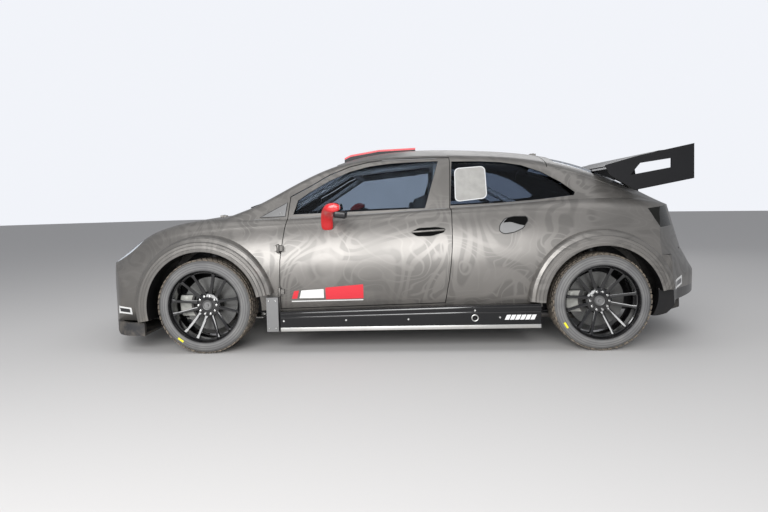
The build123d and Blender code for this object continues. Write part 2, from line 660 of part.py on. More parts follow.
def build_shapes():
    """Model every piece and return them by node name."""
    parts = {}
    outer = hull(0, 0)
    inner = hull(BODY_WALL, ROOF_WALL)
    shell = outer - inner
    left_door_space = door_prism(SHUT_GAP / 2)
    door_spaces = [left_door_space, mirrored(left_door_space)]
    left_wells = wheel_wells()
    wells = [left_wells, mirrored(left_wells)]

    quarter_prism = side_prism(QUARTER_GLASS, -WIDE, -400)
    lamp_prism = side_prism(TAIL_LAMP, -WIDE, -596)
    screen_prism = top_prism(SCREEN_TOP, 700, HIGH)
    window_prism = top_prism(REAR_WINDOW_TOP, 700, HIGH)
    headlamp_prism = Pos(-1850, -HEADLAMP_Y, HEADLAMP_Z) * Rot(0, 90, 0)
    headlamp_prism = headlamp_prism * extrude(Ellipse(HEADLAMP_HALF_HIGH, HEADLAMP_HALF_WIDE), 350, both=True)

    gate_box = block(TAILGATE_FRONT_X, 2300, -TAILGATE_HALF, TAILGATE_HALF, TAILGATE_BOTTOM_Z, HIGH)
    gate_cut = block(TAILGATE_FRONT_X - SHUT_GAP, 2300, -TAILGATE_HALF - SHUT_GAP, TAILGATE_HALF + SHUT_GAP,
                     TAILGATE_BOTTOM_Z - SHUT_GAP, HIGH)

    bonnet_outline = [
        (BONNET_REAR_X, 0), (BONNET_REAR_X, -BONNET_HALF_REAR), (-1500, -BONNET_HALF_REAR + 5),
        (-1800, -BONNET_HALF_FRONT - 40), (-2015, -BONNET_HALF_FRONT + 120), (-2080, 0),
    ]
    bonnet_cut_outline = [
        (BONNET_REAR_X + SHUT_GAP, 0), (BONNET_REAR_X + SHUT_GAP, -BONNET_HALF_REAR - SHUT_GAP),
        (-1500, -BONNET_HALF_REAR), (-1802, -BONNET_HALF_FRONT - 46),
        (-2020, -BONNET_HALF_FRONT + 114), (-2086, 0),
    ]
    bonnet_prism = top_prism(bonnet_outline, BUMPER_TOP_Z + 15, HIGH)
    bonnet_cut = top_prism(bonnet_cut_outline, BUMPER_TOP_Z + 8, HIGH)

    hinges = hinge_sets()
    door_fixed, door_moving, door_room = hinges["door"]
    bonnet_fixed, bonnet_moving, bonnet_room = hinges["bonnet"]
    gate_fixed, gate_moving, gate_room = hinges["tailgate"]
    bumper_zone = block(-2300, -1610, -WIDE, WIDE, 190, BUMPER_TOP_Z)
    nose_zone = block(-2300, -1850, -620, 620, BUMPER_TOP_Z - 1, 720)
    rear_zone = block(1610, 2300, -WIDE, WIDE, 190, BUMPER_TOP_Z)
    fender_zone = block(-2300, -785, -WIDE, -470, 240, HIGH)
    fender_zone -= block(-1257, -700, -645, 0, 0, HIGH)
    fender_zone -= [block(-1257, -700, -700, 0, 895, HIGH), nose_zone]
    fender_cut = fender_zone
    fender_zones = [fender_cut, mirrored(fender_cut)]

    # Body shell with its floor, sills, bulkheads and tubs
    tubs = wheel_tubs()
    body = shell - (fender_zones + door_spaces + [bumper_zone, nose_zone, rear_zone, bonnet_cut, gate_cut])
    inside = [
        (tubs & inner), mirrored(tubs & inner),
        block(-1000, -970, -820, 820, 200, 850) & inner,
        block(-970, 1600, -760, 760, 225, 254) & inner,
        block(-700, 900, -130, 130, 240, 340),
        block(-1010, -960, -700, 700, 840, 866) & inner,
        block(-1600, -990, -480, -430, 240, 300),
        block(-1600, -990, 430, 480, 240, 300),
    ]
    body += inside
    rear_flare = flare(REAR_AXLE_X, REAR_FLARE_FEET[0], REAR_FLARE_FEET[1]) - inner
    body += [rear_flare, mirrored(rear_flare)]
    cuts = wells + [quarter_prism, mirrored(quarter_prism), lamp_prism, mirrored(lamp_prism), screen_prism]
    body -= cuts + bonnet_room + gate_room + door_room + [mirrored(room) for room in door_room]
    body += bonnet_fixed + gate_fixed
    parts["body_shell"] = body

    # Front fenders with their flares
    fender = (shell & fender_zone) - ([bonnet_cut, bumper_zone, headlamp_prism, left_wells, left_door_space] + door_room)
    fender += flare(FRONT_AXLE_X, FRONT_FLARE_FEET[0], FRONT_FLARE_FEET[1]) - inner
    fender += door_fixed
    parts["front_fender_left"] = fender
    parts["front_fender_right"] = mirrored(fender)

    # Bumpers
    front_trim = bumper_trim(FRONT_AXLE_X, FRONT_FLARE_FEET[0])
    grille_hole = block(-2300, -1850, -GRILLE_HALF, GRILLE_HALF, GRILLE_LOW_Z, GRILLE_HIGH_Z)
    duct = block(-2300, -1750, -DUCT_OUTER_Y, -DUCT_INNER_Y, DUCT_LOW_Z, DUCT_HIGH_Z)
    bumper = (shell & (bumper_zone + nose_zone)) - [
        grille_hole, duct, mirrored(duct), front_trim, mirrored(front_trim), bonnet_cut, *wells,
        headlamp_prism, mirrored(headlamp_prism),
    ]
    parts["front_bumper"] = bumper
    parts["front_grille"] = front_grille()
    lip = extrude(Pos(0, 0, LIP_LOW_Z) * (offset(plan_sketch(0), amount=0) & Pos(-1900, 0) * Rectangle(440, 2 * WIDE)),
                  LIP_HIGH_Z - LIP_LOW_Z)
    lip -= extrude(Pos(0, 0, LIP_LOW_Z + 14) * plan_sketch(24), 200)
    parts["front_splitter"] = lip
    rear_trim = bumper_trim(REAR_AXLE_X, REAR_FLARE_FEET[1])
    under_cut = side_prism(REAR_BUMPER_UNDER, -WIDE, WIDE)
    parts["rear_bumper"] = (shell & rear_zone) - [rear_trim, mirrored(rear_trim), under_cut]
    fins = [side_prism(DIFFUSER_FIN, y - 5, y + 5) for y in DIFFUSER_FIN_Y]
    plate = side_prism(DIFFUSER_PLATE, -DIFFUSER_HALF, DIFFUSER_HALF)
    parts["rear_diffuser"] = plate + fins

    # Glass
    glass_out = hull(GLASS_DEPTH, GLASS_DEPTH)
    glass_in = hull(GLASS_DEPTH + GLASS_THICK, GLASS_DEPTH + GLASS_THICK)
    glass_skin = glass_out - glass_in
    parts["windscreen"] = glass_skin & screen_prism
    quarter = glass_skin & quarter_prism
    parts["quarter_windows"] = both(quarter)
    parts["rear_window"] = glass_skin & window_prism & gate_box

    # Doors
    thick_inner = hull(DOOR_WALL, ROOF_WALL)
    door_form = (outer & door_prism(-SHUT_GAP / 2)) - thick_inner
    glass_prism = side_prism(DOOR_GLASS, -WIDE, -400)
    door_left = door_form - ([glass_prism] + door_room) + door_moving
    parts["door_left"] = door_left
    parts["door_right"] = mirrored(door_left)
    door_glass = glass_skin & glass_prism
    parts["door_glass_left"] = door_glass
    parts["door_glass_right"] = mirrored(door_glass)
    mirror_left = mirror_piece() - outer
    parts["mirror_left"] = mirror_left
    parts["mirror_right"] = mirrored(mirror_left)

    # Bonnet, tailgate and wing
    parts["bonnet"] = (outer & bonnet_prism) - ([hull(BONNET_WALL, BONNET_WALL)] + bonnet_room) + bonnet_moving
    gate = (shell & gate_box) - ([window_prism, lamp_prism, mirrored(lamp_prism)] + gate_room)
    parts["tailgate"] = gate + gate_moving
    parts["rear_wing"] = rear_wing() - outer

    # Lamps
    lamp_skin = outer - hull(28, 25)
    tail_lamp = lamp_skin & lamp_prism
    parts["tail_lamps"] = both(tail_lamp)
    head_lamp = (lamp_skin & headlamp_prism) - bonnet_cut
    parts["headlamps"] = both(head_lamp)

    # Trim on the outside
    skirt = side_prism(SKIRT_SIDE, -SKIRT_Y, -690) - outer
    socket = y_disc(JACK_X, JACK_Z, JACK_RADIUS, -SKIRT_Y - 1, -SKIRT_Y + JACK_DEPTH)
    skirt -= socket
    parts["side_skirts"] = both(skirt)
    guard = block(-864, -788, -SKIRT_Y, -800, 142, 365) - outer
    guard -= left_wells
    parts["mud_guards"] = both(guard)
    scoop = side_prism(SCOOP_SIDE, -SCOOP_HALF, SCOOP_HALF) - outer
    scoop -= block(-440, -380, -SCOOP_HALF + 14, SCOOP_HALF - 14, 1296, 1312)
    parts["roof_scoop"] = scoop

    # Inside
    parts["roll_cage"] = roll_cage()
    parts["seats"] = seat(-SEAT_Y) + seat(SEAT_Y)
    parts["dashboard"] = dashboard()
    parts["steering_wheel"] = steering_wheel()
    legs = [block(x, x + 40, y, y + 30, 235, 300) for x in (-1560, -1120) for y in (-300, 270)]
    parts["engine"] = block(-1640, -1080, -300, 300, 290, 690) + legs
    parts["fuel_cell"] = block(1100, 1560, -330, 330, 254, 520)

    # Underneath
    skid = block(-1840, -1010, -420, 420, 140, 148)
    feet = [block(x, x + 30, y, y + 30, 148, SUBFRAME_LOW_Z) for x in (-1480, -1040) for y in (-345, 315)]
    parts["skid_plate"] = skid + feet + [block(-1840, -1800, -420, 420, 140, FLOOR_Z)]
    parts["front_subframe"] = front_arms()
    parts["rear_suspension"] = rear_arms()
    pipe = Part()
    for start, end in zip(EXHAUST_PATH, EXHAUST_PATH[1:]):
        pipe += tube(start, end, EXHAUST_RADIUS)
    parts["exhaust"] = pipe
    knuckle = hub_carrier(FRONT_AXLE_X) + strut(FRONT_AXLE_X)
    parts["knuckle_left"] = knuckle
    parts["knuckle_right"] = mirrored(knuckle)

    # Wheels
    for end, axle_x in (("front", FRONT_AXLE_X), ("rear", REAR_AXLE_X)):
        tyre, rim, disc = wheel_pieces(axle_x)
        for side in ("left", "right"):
            place = mirrored if side == "right" else (lambda piece: piece)
            parts[f"tyre_{end}_{side}"] = place(tyre)
            parts[f"rim_{end}_{side}"] = place(rim)
            parts[f"brake_disc_{end}_{side}"] = place(disc)
    return parts


if __name__ == "__main__":
    os.makedirs("parts", exist_ok=True)
    for name, shape in build_shapes().items():
        export_step(shape, f"parts/{name}.step")
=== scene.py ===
# %% [markdown]
# A compact two-door rally car, dressed round its CAD model.
# The CAD solids carry every main form: panels, glass, wheels, cage. This lesson adds what a solid
# model leaves out: tread, bolts, seals, pads, surface finish. Units are metres, +X points to the
# tail, the left side is at -Y, the ground is z = 0.

# %% Load the CAD frame
import json
import math
from functools import partial

import bmesh
import bpy
from mathutils import Matrix, Vector
from mathutils.bvhtree import BVHTree

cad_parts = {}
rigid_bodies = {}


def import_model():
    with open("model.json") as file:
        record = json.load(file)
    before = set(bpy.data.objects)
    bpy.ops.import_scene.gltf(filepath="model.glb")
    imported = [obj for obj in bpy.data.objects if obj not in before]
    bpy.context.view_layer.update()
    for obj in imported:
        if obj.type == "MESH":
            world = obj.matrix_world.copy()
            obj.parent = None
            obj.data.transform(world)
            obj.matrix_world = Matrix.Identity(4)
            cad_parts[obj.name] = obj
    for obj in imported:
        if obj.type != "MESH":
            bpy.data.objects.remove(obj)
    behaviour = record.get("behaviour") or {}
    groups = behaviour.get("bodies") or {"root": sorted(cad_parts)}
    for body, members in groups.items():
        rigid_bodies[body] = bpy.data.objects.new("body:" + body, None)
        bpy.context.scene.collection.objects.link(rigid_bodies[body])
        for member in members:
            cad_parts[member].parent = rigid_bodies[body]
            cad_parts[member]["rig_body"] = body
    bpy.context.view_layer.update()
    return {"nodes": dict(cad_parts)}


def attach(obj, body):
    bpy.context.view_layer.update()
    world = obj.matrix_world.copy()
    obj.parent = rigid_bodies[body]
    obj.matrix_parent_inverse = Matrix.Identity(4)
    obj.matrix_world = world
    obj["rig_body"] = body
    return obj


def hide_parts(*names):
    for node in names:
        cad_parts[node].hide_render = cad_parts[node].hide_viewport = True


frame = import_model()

nodes = frame["nodes"]

# %% [markdown]
# A car is seen as one thing but made of well over a hundred pieces, so small helpers pay off. Each helper
# returns a bmesh; pieces are gathered, given a finish and set on the body that carries them.
# Left pieces are built once and mirrored, because the two sides of a car are the same.

# %% Helpers that gather and place meshes
WHEEL_RADIUS = 0.310
AXLE_X = 1.27
TYRE_OUTER = 0.900
TYRE_INNER = 0.685
HALF_TYRE = (TYRE_OUTER - TYRE_INNER) / 2
SHELL, DOORS = ("chassis", "chassis"), ("door_left", "door_right")
MERGE = 1e-6


def gather(parts):
    """Join several bmeshes into one."""
    whole = bmesh.new()
    for part in parts:
        carrier = bpy.data.meshes.new("carrier")
        part.to_mesh(carrier)
        whole.from_mesh(carrier)
        bpy.data.meshes.remove(carrier)
        part.free()
    return whole


def moved(bm, matrix):
    """The bmesh after a move, turn or scale."""
    bmesh.ops.transform(bm, matrix=matrix, verts=bm.verts)
    return bm


def mirrored(bm):
    """A copy on the right side, turned the right way out again."""
    copy = bm.copy()
    bmesh.ops.scale(copy, vec=(1, -1, 1), verts=copy.verts)
    bmesh.ops.reverse_faces(copy, faces=copy.faces)
    return copy


def make_piece(name, bm, body, materials, crease=35, recalculate=True):
    """Turn a bmesh into a smooth-shaded object that rides on a body."""
    bmesh.ops.remove_doubles(bm, verts=bm.verts, dist=MERGE)
    if recalculate:
        bmesh.ops.recalc_face_normals(bm, faces=bm.faces)
    mesh = bpy.data.meshes.new(name)
    bm.to_mesh(mesh)
    bm.free()
    mesh.shade_smooth()
    mesh.set_sharp_from_angle(angle=math.radians(crease))
    for material in materials if isinstance(materials, (list, tuple)) else [materials]:
        mesh.materials.append(material)
    piece = bpy.data.objects.new(name, mesh)
    bpy.context.scene.collection.objects.link(piece)
    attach(piece, body)
    return piece


def make_pair(name, bm, bodies, materials, crease=35):
    """The same piece on the left and, mirrored, on the right."""
    twin = mirrored(bm)
    left = make_piece(name + "_left", bm, bodies[0], materials, crease)
    right = make_piece(name + "_right", twin, bodies[1], materials, crease)
    return left, right


# %% [markdown]
# Most small hardware is a bevelled box, a turned profile, a tube or a flat plate. Bevelled edges
# matter more than detail: real edges are never sharp, and the small round catches the light.

# %% Helpers that make simple solids
def round_off(bm, geom, width, segments=2, affect="EDGES", clamp=True):
    """Bevel some edges or corners of a bmesh."""
    bmesh.ops.bevel(bm, geom=geom, offset=width, segments=segments, profile=0.5, affect=affect,
                    material=-1, clamp_overlap=clamp)


def flat_face(outline, upright=True):
    """A bmesh with one face: an outline of (x, z), or of (x, y) when it lies flat."""
    bm = bmesh.new()
    places = [(a, 0, b) if upright else (a, b, 0) for a, b in outline]
    return bm, bm.faces.new([bm.verts.new(place) for place in places])


def raise_faces(bm, step):
    """Extrude all faces of a bmesh by a step."""
    made = bmesh.ops.extrude_face_region(bm, geom=bm.faces[:])["geom"]
    bmesh.ops.translate(bm, vec=step, verts=[v for v in made if isinstance(v, bmesh.types.BMVert)])


def cut_through(bm, point, normal, **more):
    """Cut a bmesh by a plane; returns the edges of the cut."""
    cut = bmesh.ops.bisect_plane(bm, geom=bm.verts[:] + bm.edges[:] + bm.faces[:], plane_co=point,
                                 plane_no=normal, **more)
    return [e for e in cut["geom_cut"] if isinstance(e, bmesh.types.BMEdge)]


def box(centre, size, bevel=0.0, segments=2, turn=None):
    """A box with rounded edges."""
    bm = bmesh.new()
    bmesh.ops.create_cube(bm, size=1.0)
    bmesh.ops.scale(bm, vec=size, verts=bm.verts)
    if bevel:
        round_off(bm, bm.edges[:], bevel, segments)
    if turn is not None:
        bmesh.ops.rotate(bm, cent=(0, 0, 0), matrix=turn, verts=bm.verts)
    bmesh.ops.translate(bm, vec=centre, verts=bm.verts)
    return bm


def turned(profile, steps=64, closed=False):
    """A profile of (y, radius) points spun about the Y axis."""
    bm = bmesh.new()
    verts = [bm.verts.new((radius, y, 0)) for y, radius in profile]
    edges = [bm.edges.new(pair) for pair in zip(verts, verts[1:])]
    if closed:
        edges.append(bm.edges.new((verts[-1], verts[0])))
    bmesh.ops.spin(bm, geom=verts + edges, cent=(0, 0, 0), axis=(0, 1, 0), angle=math.tau,
                   steps=steps, use_merge=True)
    bmesh.ops.remove_doubles(bm, verts=bm.verts, dist=MERGE)
    return bm


def rod(start, end, radius, sides, bevel):
    """A round bar between two points."""
    start, end = Vector(start), Vector(end)
    bm = bmesh.new()
    bmesh.ops.create_cone(bm, cap_ends=True, segments=sides, radius1=radius, radius2=radius,
                          depth=(end - start).length)
    rims = [e for e in bm.edges if abs(e.verts[0].co.z - e.verts[1].co.z) < MERGE]
    round_off(bm, rims, bevel, clamp=False)
    turn = (end - start).to_track_quat("Z", "Y").to_matrix().to_4x4()
    return moved(bm, Matrix.Translation((start + end) / 2) @ turn)


def plate(outline, thickness, bevel):
    """A flat plate: an outline of (x, z), raised along Y. Its outline may be concave."""
    bm, _ = flat_face(outline)
    raise_faces(bm, Vector((0, 1, 0)) * thickness)
    bmesh.ops.recalc_face_normals(bm, faces=bm.faces)
    if bevel:
        round_off(bm, bm.edges[:], bevel)
    return bm


def tube(points, radius, closed=False):
    """A round tube along points, read from a curve."""
    curve = bpy.data.curves.new("path", "CURVE")
    curve.dimensions = "3D"
    curve.bevel_depth = radius
    curve.bevel_resolution = 2
    curve.use_fill_caps = not closed
    spline = curve.splines.new("POLY")
    spline.points.add(len(points) - 1)
    for point, place in zip(spline.points, points):
        point.co = (*place, 1)
    spline.use_cyclic_u = closed
    holder = bpy.data.objects.new("path", curve)
    mesh = bpy.data.meshes.new_from_object(holder)
    bm = bmesh.new()
    bm.from_mesh(mesh)
    bpy.data.objects.remove(holder)
    bpy.data.curves.remove(curve)
    bpy.data.meshes.remove(mesh)
    return bm


def rounded_outline(points, radius, segments):
    """An outline of 2-D points with its corners rounded by a vertex bevel."""
    bm, face = flat_face(points, upright=False)
    round_off(bm, list(face.verts), radius, segments, "VERTICES")
    bm.faces.ensure_lookup_table()
    found = [(v.co.x, v.co.y) for v in bm.faces[0].verts]
    bm.free()
    return found


# %% [markdown]
# Trim and decals lie on curved panels. The sure way is to ask the CAD surface itself: a ray from
# outside finds the skin, and the piece is laid on the hit points, a hair proud of the paint.

# %% Helpers that lay pieces on the CAD skin
skins = {}
RAY_START = 1.4
SIDEWAYS, DOWNWARDS = (0, 1, 0), (0, 0, -1)


def skin_of(node):
    """A search tree of a CAD node's faces."""
    if node not in skins:
        mesh = nodes[node].data
        skins[node] = BVHTree.FromPolygons([v.co for v in mesh.vertices],
                                           [p.vertices for p in mesh.polygons])
    return skins[node]


def on_skin(node, place, direction=SIDEWAYS):
    """The point and outward normal of a node's skin; the place itself where the ray misses."""
    direction = Vector(direction).normalized()
    place = Vector(place)
    origin = place - direction * (RAY_START + place.dot(direction))
    names = node if isinstance(node, (list, tuple)) else [node]
    best = None
    for name in names:
        hit, normal, index, distance = skin_of(name).ray_cast(origin, direction)
        if hit is not None and (best is None or distance < best[2]):
            best = (hit, normal if normal.dot(direction) < 0 else -normal, distance)
    return (best[0], best[1]) if best else (place, -direction)


def above_skin(node, place, lift, direction=SIDEWAYS):
    """A point a little above a node's skin."""
    hit, normal = on_skin(node, place, direction)
    return hit + normal * lift


def lay_on(bm, node, lift, thickness):
    """Lay a flat bmesh on a node's skin and give it a thickness."""
    for vert in bm.verts:
        vert.co = above_skin(node, vert.co, lift)
    bmesh.ops.recalc_face_normals(bm, faces=bm.faces)
    raise_faces(bm, -Vector(SIDEWAYS) * thickness)
    return bm


def draped(node, outline, lift, thickness=0.0012, cuts=3, longest=0.03):
    """A thin patch with an outline of (x, z), laid on a node's skin."""
    bm, _ = flat_face(outline)
    bmesh.ops.triangulate(bm, faces=bm.faces[:])
    for _ in range(cuts):
        long_edges = [e for e in bm.edges if e.calc_length() > longest]
        if long_edges:
            bmesh.ops.subdivide_edges(bm, edges=long_edges, cuts=1)
            bmesh.ops.triangulate(bm, faces=bm.faces[:])
    return lay_on(bm, node, lift, thickness)


# %% [markdown]
# Finishes first. Effects shared by several finishes are node groups: a slow drift of colour and
# gloss, a fine grain for bump, road dust that gathers low down, and the wrap's contour bands.
# Each group puts out colours and values only; the shader itself stays in each material.

# %% Node group: surface drift
def new_group(name, inputs, outputs):
    """A shader node group with named sockets, and its inner nodes."""
    group = bpy.data.node_groups.new(name, "ShaderNodeTree")
    for label, kind, value in inputs:
        socket = group.interface.new_socket(name=label, in_out="INPUT", socket_type=kind)
        socket.default_value = value
    for label, kind in outputs:
        group.interface.new_socket(name=label, in_out="OUTPUT", socket_type=kind)
    return group, group.nodes.new("NodeGroupInput"), group.nodes.new("NodeGroupOutput")


def math_node(tree, operation, a, b=None, clamp=False):
    """A maths node fed by sockets or numbers; returns its result socket."""
    node = tree.nodes.new("ShaderNodeMath")
    node.operation = operation
    node.use_clamp = clamp
    for index, value in enumerate((a, b)):
        if isinstance(value, bpy.types.NodeSocket):
            tree.links.new(value, node.inputs[index])
        elif value is not None:
            node.inputs[index].default_value = value
    return node.outputs[0]


def mix_colour(tree, factor, first, second):
    """A colour mix of sockets or colours; returns its result socket."""
    node = tree.nodes.new("ShaderNodeMix")
    node.data_type = "RGBA"
    for index, value in ((0, factor), (6, first), (7, second)):
        if isinstance(value, bpy.types.NodeSocket):
            tree.links.new(value, node.inputs[index])
        elif index:
            node.inputs[index].default_value = (*value, 1)
        else:
            node.inputs[index].default_value = value
    return node.outputs[2]


def remap(tree, value, low, high, to_low=0.0, to_high=1.0):
    """A clamped change of range; returns its result socket."""
    node = tree.nodes.new("ShaderNodeMapRange")
    tree.links.new(value, node.inputs[0])
    for index, number in enumerate((low, high, to_low, to_high), start=1):
        node.inputs[index].default_value = number
    return node.outputs[0]


def noise_node(tree, vector, scale, detail=3.0, distortion=0.0, roughness=0.5):
    """A noise texture; returns its value socket."""
    node = tree.nodes.new("ShaderNodeTexNoise")
    if vector is not None:
        tree.links.new(vector, node.inputs["Vector"])
    for label, value in (("Scale", scale), ("Detail", detail), ("Distortion", distortion),
                         ("Roughness", roughness)):
        if isinstance(value, bpy.types.NodeSocket):
            tree.links.new(value, node.inputs[label])
        else:
            node.inputs[label].default_value = value
    return node.outputs["Fac"]


def object_coordinates(tree):
    """The piece's own coordinates."""
    return tree.nodes.new("ShaderNodeTexCoord").outputs["Object"]


def split_xyz(tree, vector):
    """The X, Y and Z sockets of a vector."""
    node = tree.nodes.new("ShaderNodeSeparateXYZ")
    tree.links.new(vector, node.inputs[0])
    return node.outputs


def axle_distance(tree):
    """Distance from the nearer axle, in the plane of the wheels."""
    place, calc = split_xyz(tree, object_coordinates(tree)), partial(math_node, tree)
    along = calc("SUBTRACT", calc("ABSOLUTE", place["X"]), AXLE_X)
    up = calc("SUBTRACT", place["Z"], WHEEL_RADIUS)
    return calc("SQRT", calc("ADD", calc("MULTIPLY", along, along), calc("MULTIPLY", up, up)))


COLOUR, VALUE = "NodeSocketColor", "NodeSocketFloat"
drift, drift_in, drift_out = new_group(
    "surface_drift",
    [("Color", COLOUR, (0.5, 0.5, 0.5, 1)), ("Roughness", VALUE, 0.5), ("Scale", VALUE, 6.0),
     ("Colour Drift", VALUE, 0.15), ("Gloss Drift", VALUE, 0.1)],
    [("Color", COLOUR), ("Roughness", VALUE)])
slow = noise_node(drift, object_coordinates(drift), drift_in.outputs["Scale"], 4.0, 0.3)
shift = math_node(drift, "SUBTRACT", slow, 0.5)
change = math_node(drift, "MULTIPLY", shift, drift_in.outputs["Colour Drift"])
gain = math_node(drift, "ADD", change, 1.0)
scaled = drift.nodes.new("ShaderNodeVectorMath")
scaled.operation = "SCALE"
drift.links.new(drift_in.outputs["Color"], scaled.inputs[0])
drift.links.new(gain, scaled.inputs["Scale"])
drift.links.new(scaled.outputs[0], drift_out.inputs["Color"])
gloss = math_node(drift, "MULTIPLY", shift, drift_in.outputs["Gloss Drift"])
drift.links.new(math_node(drift, "ADD", gloss, drift_in.outputs["Roughness"], clamp=True),
                drift_out.inputs["Roughness"])
print("group", drift.name)

# %% Node group: fine grain
grain, grain_in, grain_out = new_group(
    "fine_grain", [("Scale", VALUE, 400.0), ("Depth", VALUE, 1.0)], [("Height", VALUE)])
pits = noise_node(grain, object_coordinates(grain), grain_in.outputs["Scale"], 2.0)
height = math_node(grain, "MULTIPLY", pits, grain_in.outputs["Depth"])
grain.links.new(height, grain_out.inputs["Height"])
print("group", grain.name)

# %% Node group: road dust
dust, dust_in, dust_out = new_group(
    "road_dust",
    [("Color", COLOUR, (0.5, 0.5, 0.5, 1)), ("Roughness", VALUE, 0.5),
     ("Dust", COLOUR, (0.30, 0.26, 0.21, 1)), ("Amount", VALUE, 0.5), ("Height", VALUE, 0.45)],
    [("Color", COLOUR), ("Roughness", VALUE)])
calc = partial(math_node, dust)
place = object_coordinates(dust)
fall = calc("DIVIDE", split_xyz(dust, place)["Z"], dust_in.outputs["Height"])
low_down = calc("SUBTRACT", 1.0, fall, clamp=True)
specks = remap(dust, noise_node(dust, place, 14.0, 8.0, 0.4, 0.65), 0.40, 0.68)
share = calc("MULTIPLY", calc("MULTIPLY", low_down, specks), dust_in.outputs["Amount"], clamp=True)
dust.links.new(mix_colour(dust, share, dust_in.outputs["Color"], dust_in.outputs["Dust"]),
               dust_out.inputs["Color"])
rough = calc("ADD", dust_in.outputs["Roughness"], calc("MULTIPLY", share, 0.5), clamp=True)
dust.links.new(rough, dust_out.inputs["Roughness"])
print("group", dust.name)

# %% [markdown]
# The body wrap is a satin film printed with contour bands, like lines on a map. Noise bent by a
# second noise gives hills; its height times a few bands, folded back and forth, gives the lines.
# The print differs from the ground by a little colour and a little gloss, no more.

# %% Node group: contour bands
bands, bands_in, bands_out = new_group(
    "contour_bands",
    [("Ground", COLOUR, (0.2, 0.2, 0.2, 1)), ("Print", COLOUR, (0.3, 0.3, 0.3, 1)),
     ("Scale", VALUE, 2.2), ("Bands", VALUE, 9.0), ("Width", VALUE, 0.3)],
    [("Color", COLOUR), ("Mask", VALUE)])
calc = partial(math_node, bands)
hills = noise_node(bands, object_coordinates(bands), bands_in.outputs["Scale"], 1.2, 1.1, 0.35)
folded = calc("PINGPONG", calc("MULTIPLY", hills, bands_in.outputs["Bands"]), 0.5)
edge = calc("SUBTRACT", folded, calc("MULTIPLY", bands_in.outputs["Width"], 0.5))
line = remap(bands, edge, -0.06, 0.06)
patchy = remap(bands, noise_node(bands, object_coordinates(bands), 1.6, 2.0), 0.35, 0.62)
mask = calc("MULTIPLY", line, patchy)
bands.links.new(mix_colour(bands, mask, bands_in.outputs["Ground"], bands_in.outputs["Print"]),
                bands_out.inputs["Color"])
bands.links.new(mask, bands_out.inputs["Mask"])
print("group", bands.name)


# %% [markdown]
# Painted panels are bare and black on the inside, as in any rally car. One mesh has both sides, so
# the paint is masked: a face that looks towards the middle of the cabin, or lies in a wheel arch, or
# faces the ground, takes the black. The outer side of a flare is left out of the first test. The
# tests use only the face's own direction and place.

# %% Node group: inside mask
MIDDLE = (0.0, 0.0, 0.65)
ARCH_EDGE, FLARE_EDGE, FLARE_SIDE = 0.3612, 0.50, 0.785
INWARD, DOWNWARD = -0.02, -0.8
inside, inside_in, inside_out = new_group(
    "inside_mask",
    [("Outside", COLOUR, (0.5, 0.5, 0.5, 1)), ("Inside", COLOUR, (0.01, 0.01, 0.01, 1))],
    [("Color", COLOUR), ("Mask", VALUE)])
calc = partial(math_node, inside)
way_out = inside.nodes.new("ShaderNodeVectorMath")
way_out.operation = "SUBTRACT"
inside.links.new(object_coordinates(inside), way_out.inputs[0])
way_out.inputs[1].default_value = MIDDLE
facing = inside.nodes.new("ShaderNodeVectorMath")
facing.operation = "DOT_PRODUCT"
face_normal = inside.nodes.new("ShaderNodeNewGeometry").outputs["True Normal"]
inside.links.new(face_normal, facing.inputs[0])
inside.links.new(way_out.outputs[0], facing.inputs[1])
looks_in = calc("LESS_THAN", facing.outputs["Value"], INWARD)
reach = axle_distance(inside)
in_arch = calc("LESS_THAN", reach, ARCH_EDGE)
faces_down = calc("LESS_THAN", split_xyz(inside, face_normal)["Z"], DOWNWARD)
aside = calc("ABSOLUTE", split_xyz(inside, object_coordinates(inside))["Y"])
on_flare = calc("MULTIPLY", calc("GREATER_THAN", aside, FLARE_SIDE), calc("LESS_THAN", reach, FLARE_EDGE))
looks_in = calc("MULTIPLY", looks_in, calc("LESS_THAN", on_flare, 0.5))
hidden = calc("MAXIMUM", calc("MAXIMUM", looks_in, in_arch), faces_down)
inside.links.new(mix_colour(inside, hidden, inside_in.outputs["Outside"], inside_in.outputs["Inside"]),
                 inside_out.inputs["Color"])
inside.links.new(hidden, inside_out.inputs["Mask"])
print("group", inside.name)


# %% Helpers that build a finish
DUST_HEIGHT = 0.45


def new_material(name, colour, roughness, metallic=0.0, **sockets):
    """A plain Principled material; its groups are added later."""
    material = bpy.data.materials.new(name)
    material.use_nodes = True
    shader = material.node_tree.nodes["Principled BSDF"]
    shader.inputs["Metallic"].default_value = metallic
    for label, value in sockets.items():
        shader.inputs[label.replace("_", " ")].default_value = value
    shader.inputs["Base Color"].default_value = (*colour, 1)
    shader.inputs["Roughness"].default_value = roughness
    return material


def place_group(material, group, **values):
    """Put a node group into a material and set its inputs."""
    node = material.node_tree.nodes.new("ShaderNodeGroup")
    node.node_tree = group
    for label, value in values.items():
        node.inputs[label.replace("_", " ")].default_value = value
    return node


def feed(material, **sockets):
    """Link sockets to the inputs of a material's shader."""
    tree = material.node_tree
    for label, socket in sockets.items():
        tree.links.new(socket, tree.nodes["Principled BSDF"].inputs[label.replace("_", " ")])


def add_bump(material, height, strength, distance):
    """Let a height bend a material's normal."""
    bump = material.node_tree.nodes.new("ShaderNodeBump")
    bump.inputs["Strength"].default_value = strength
    bump.inputs["Distance"].default_value = distance
    material.node_tree.links.new(height, bump.inputs["Height"])
    feed(material, Normal=bump.outputs["Normal"])


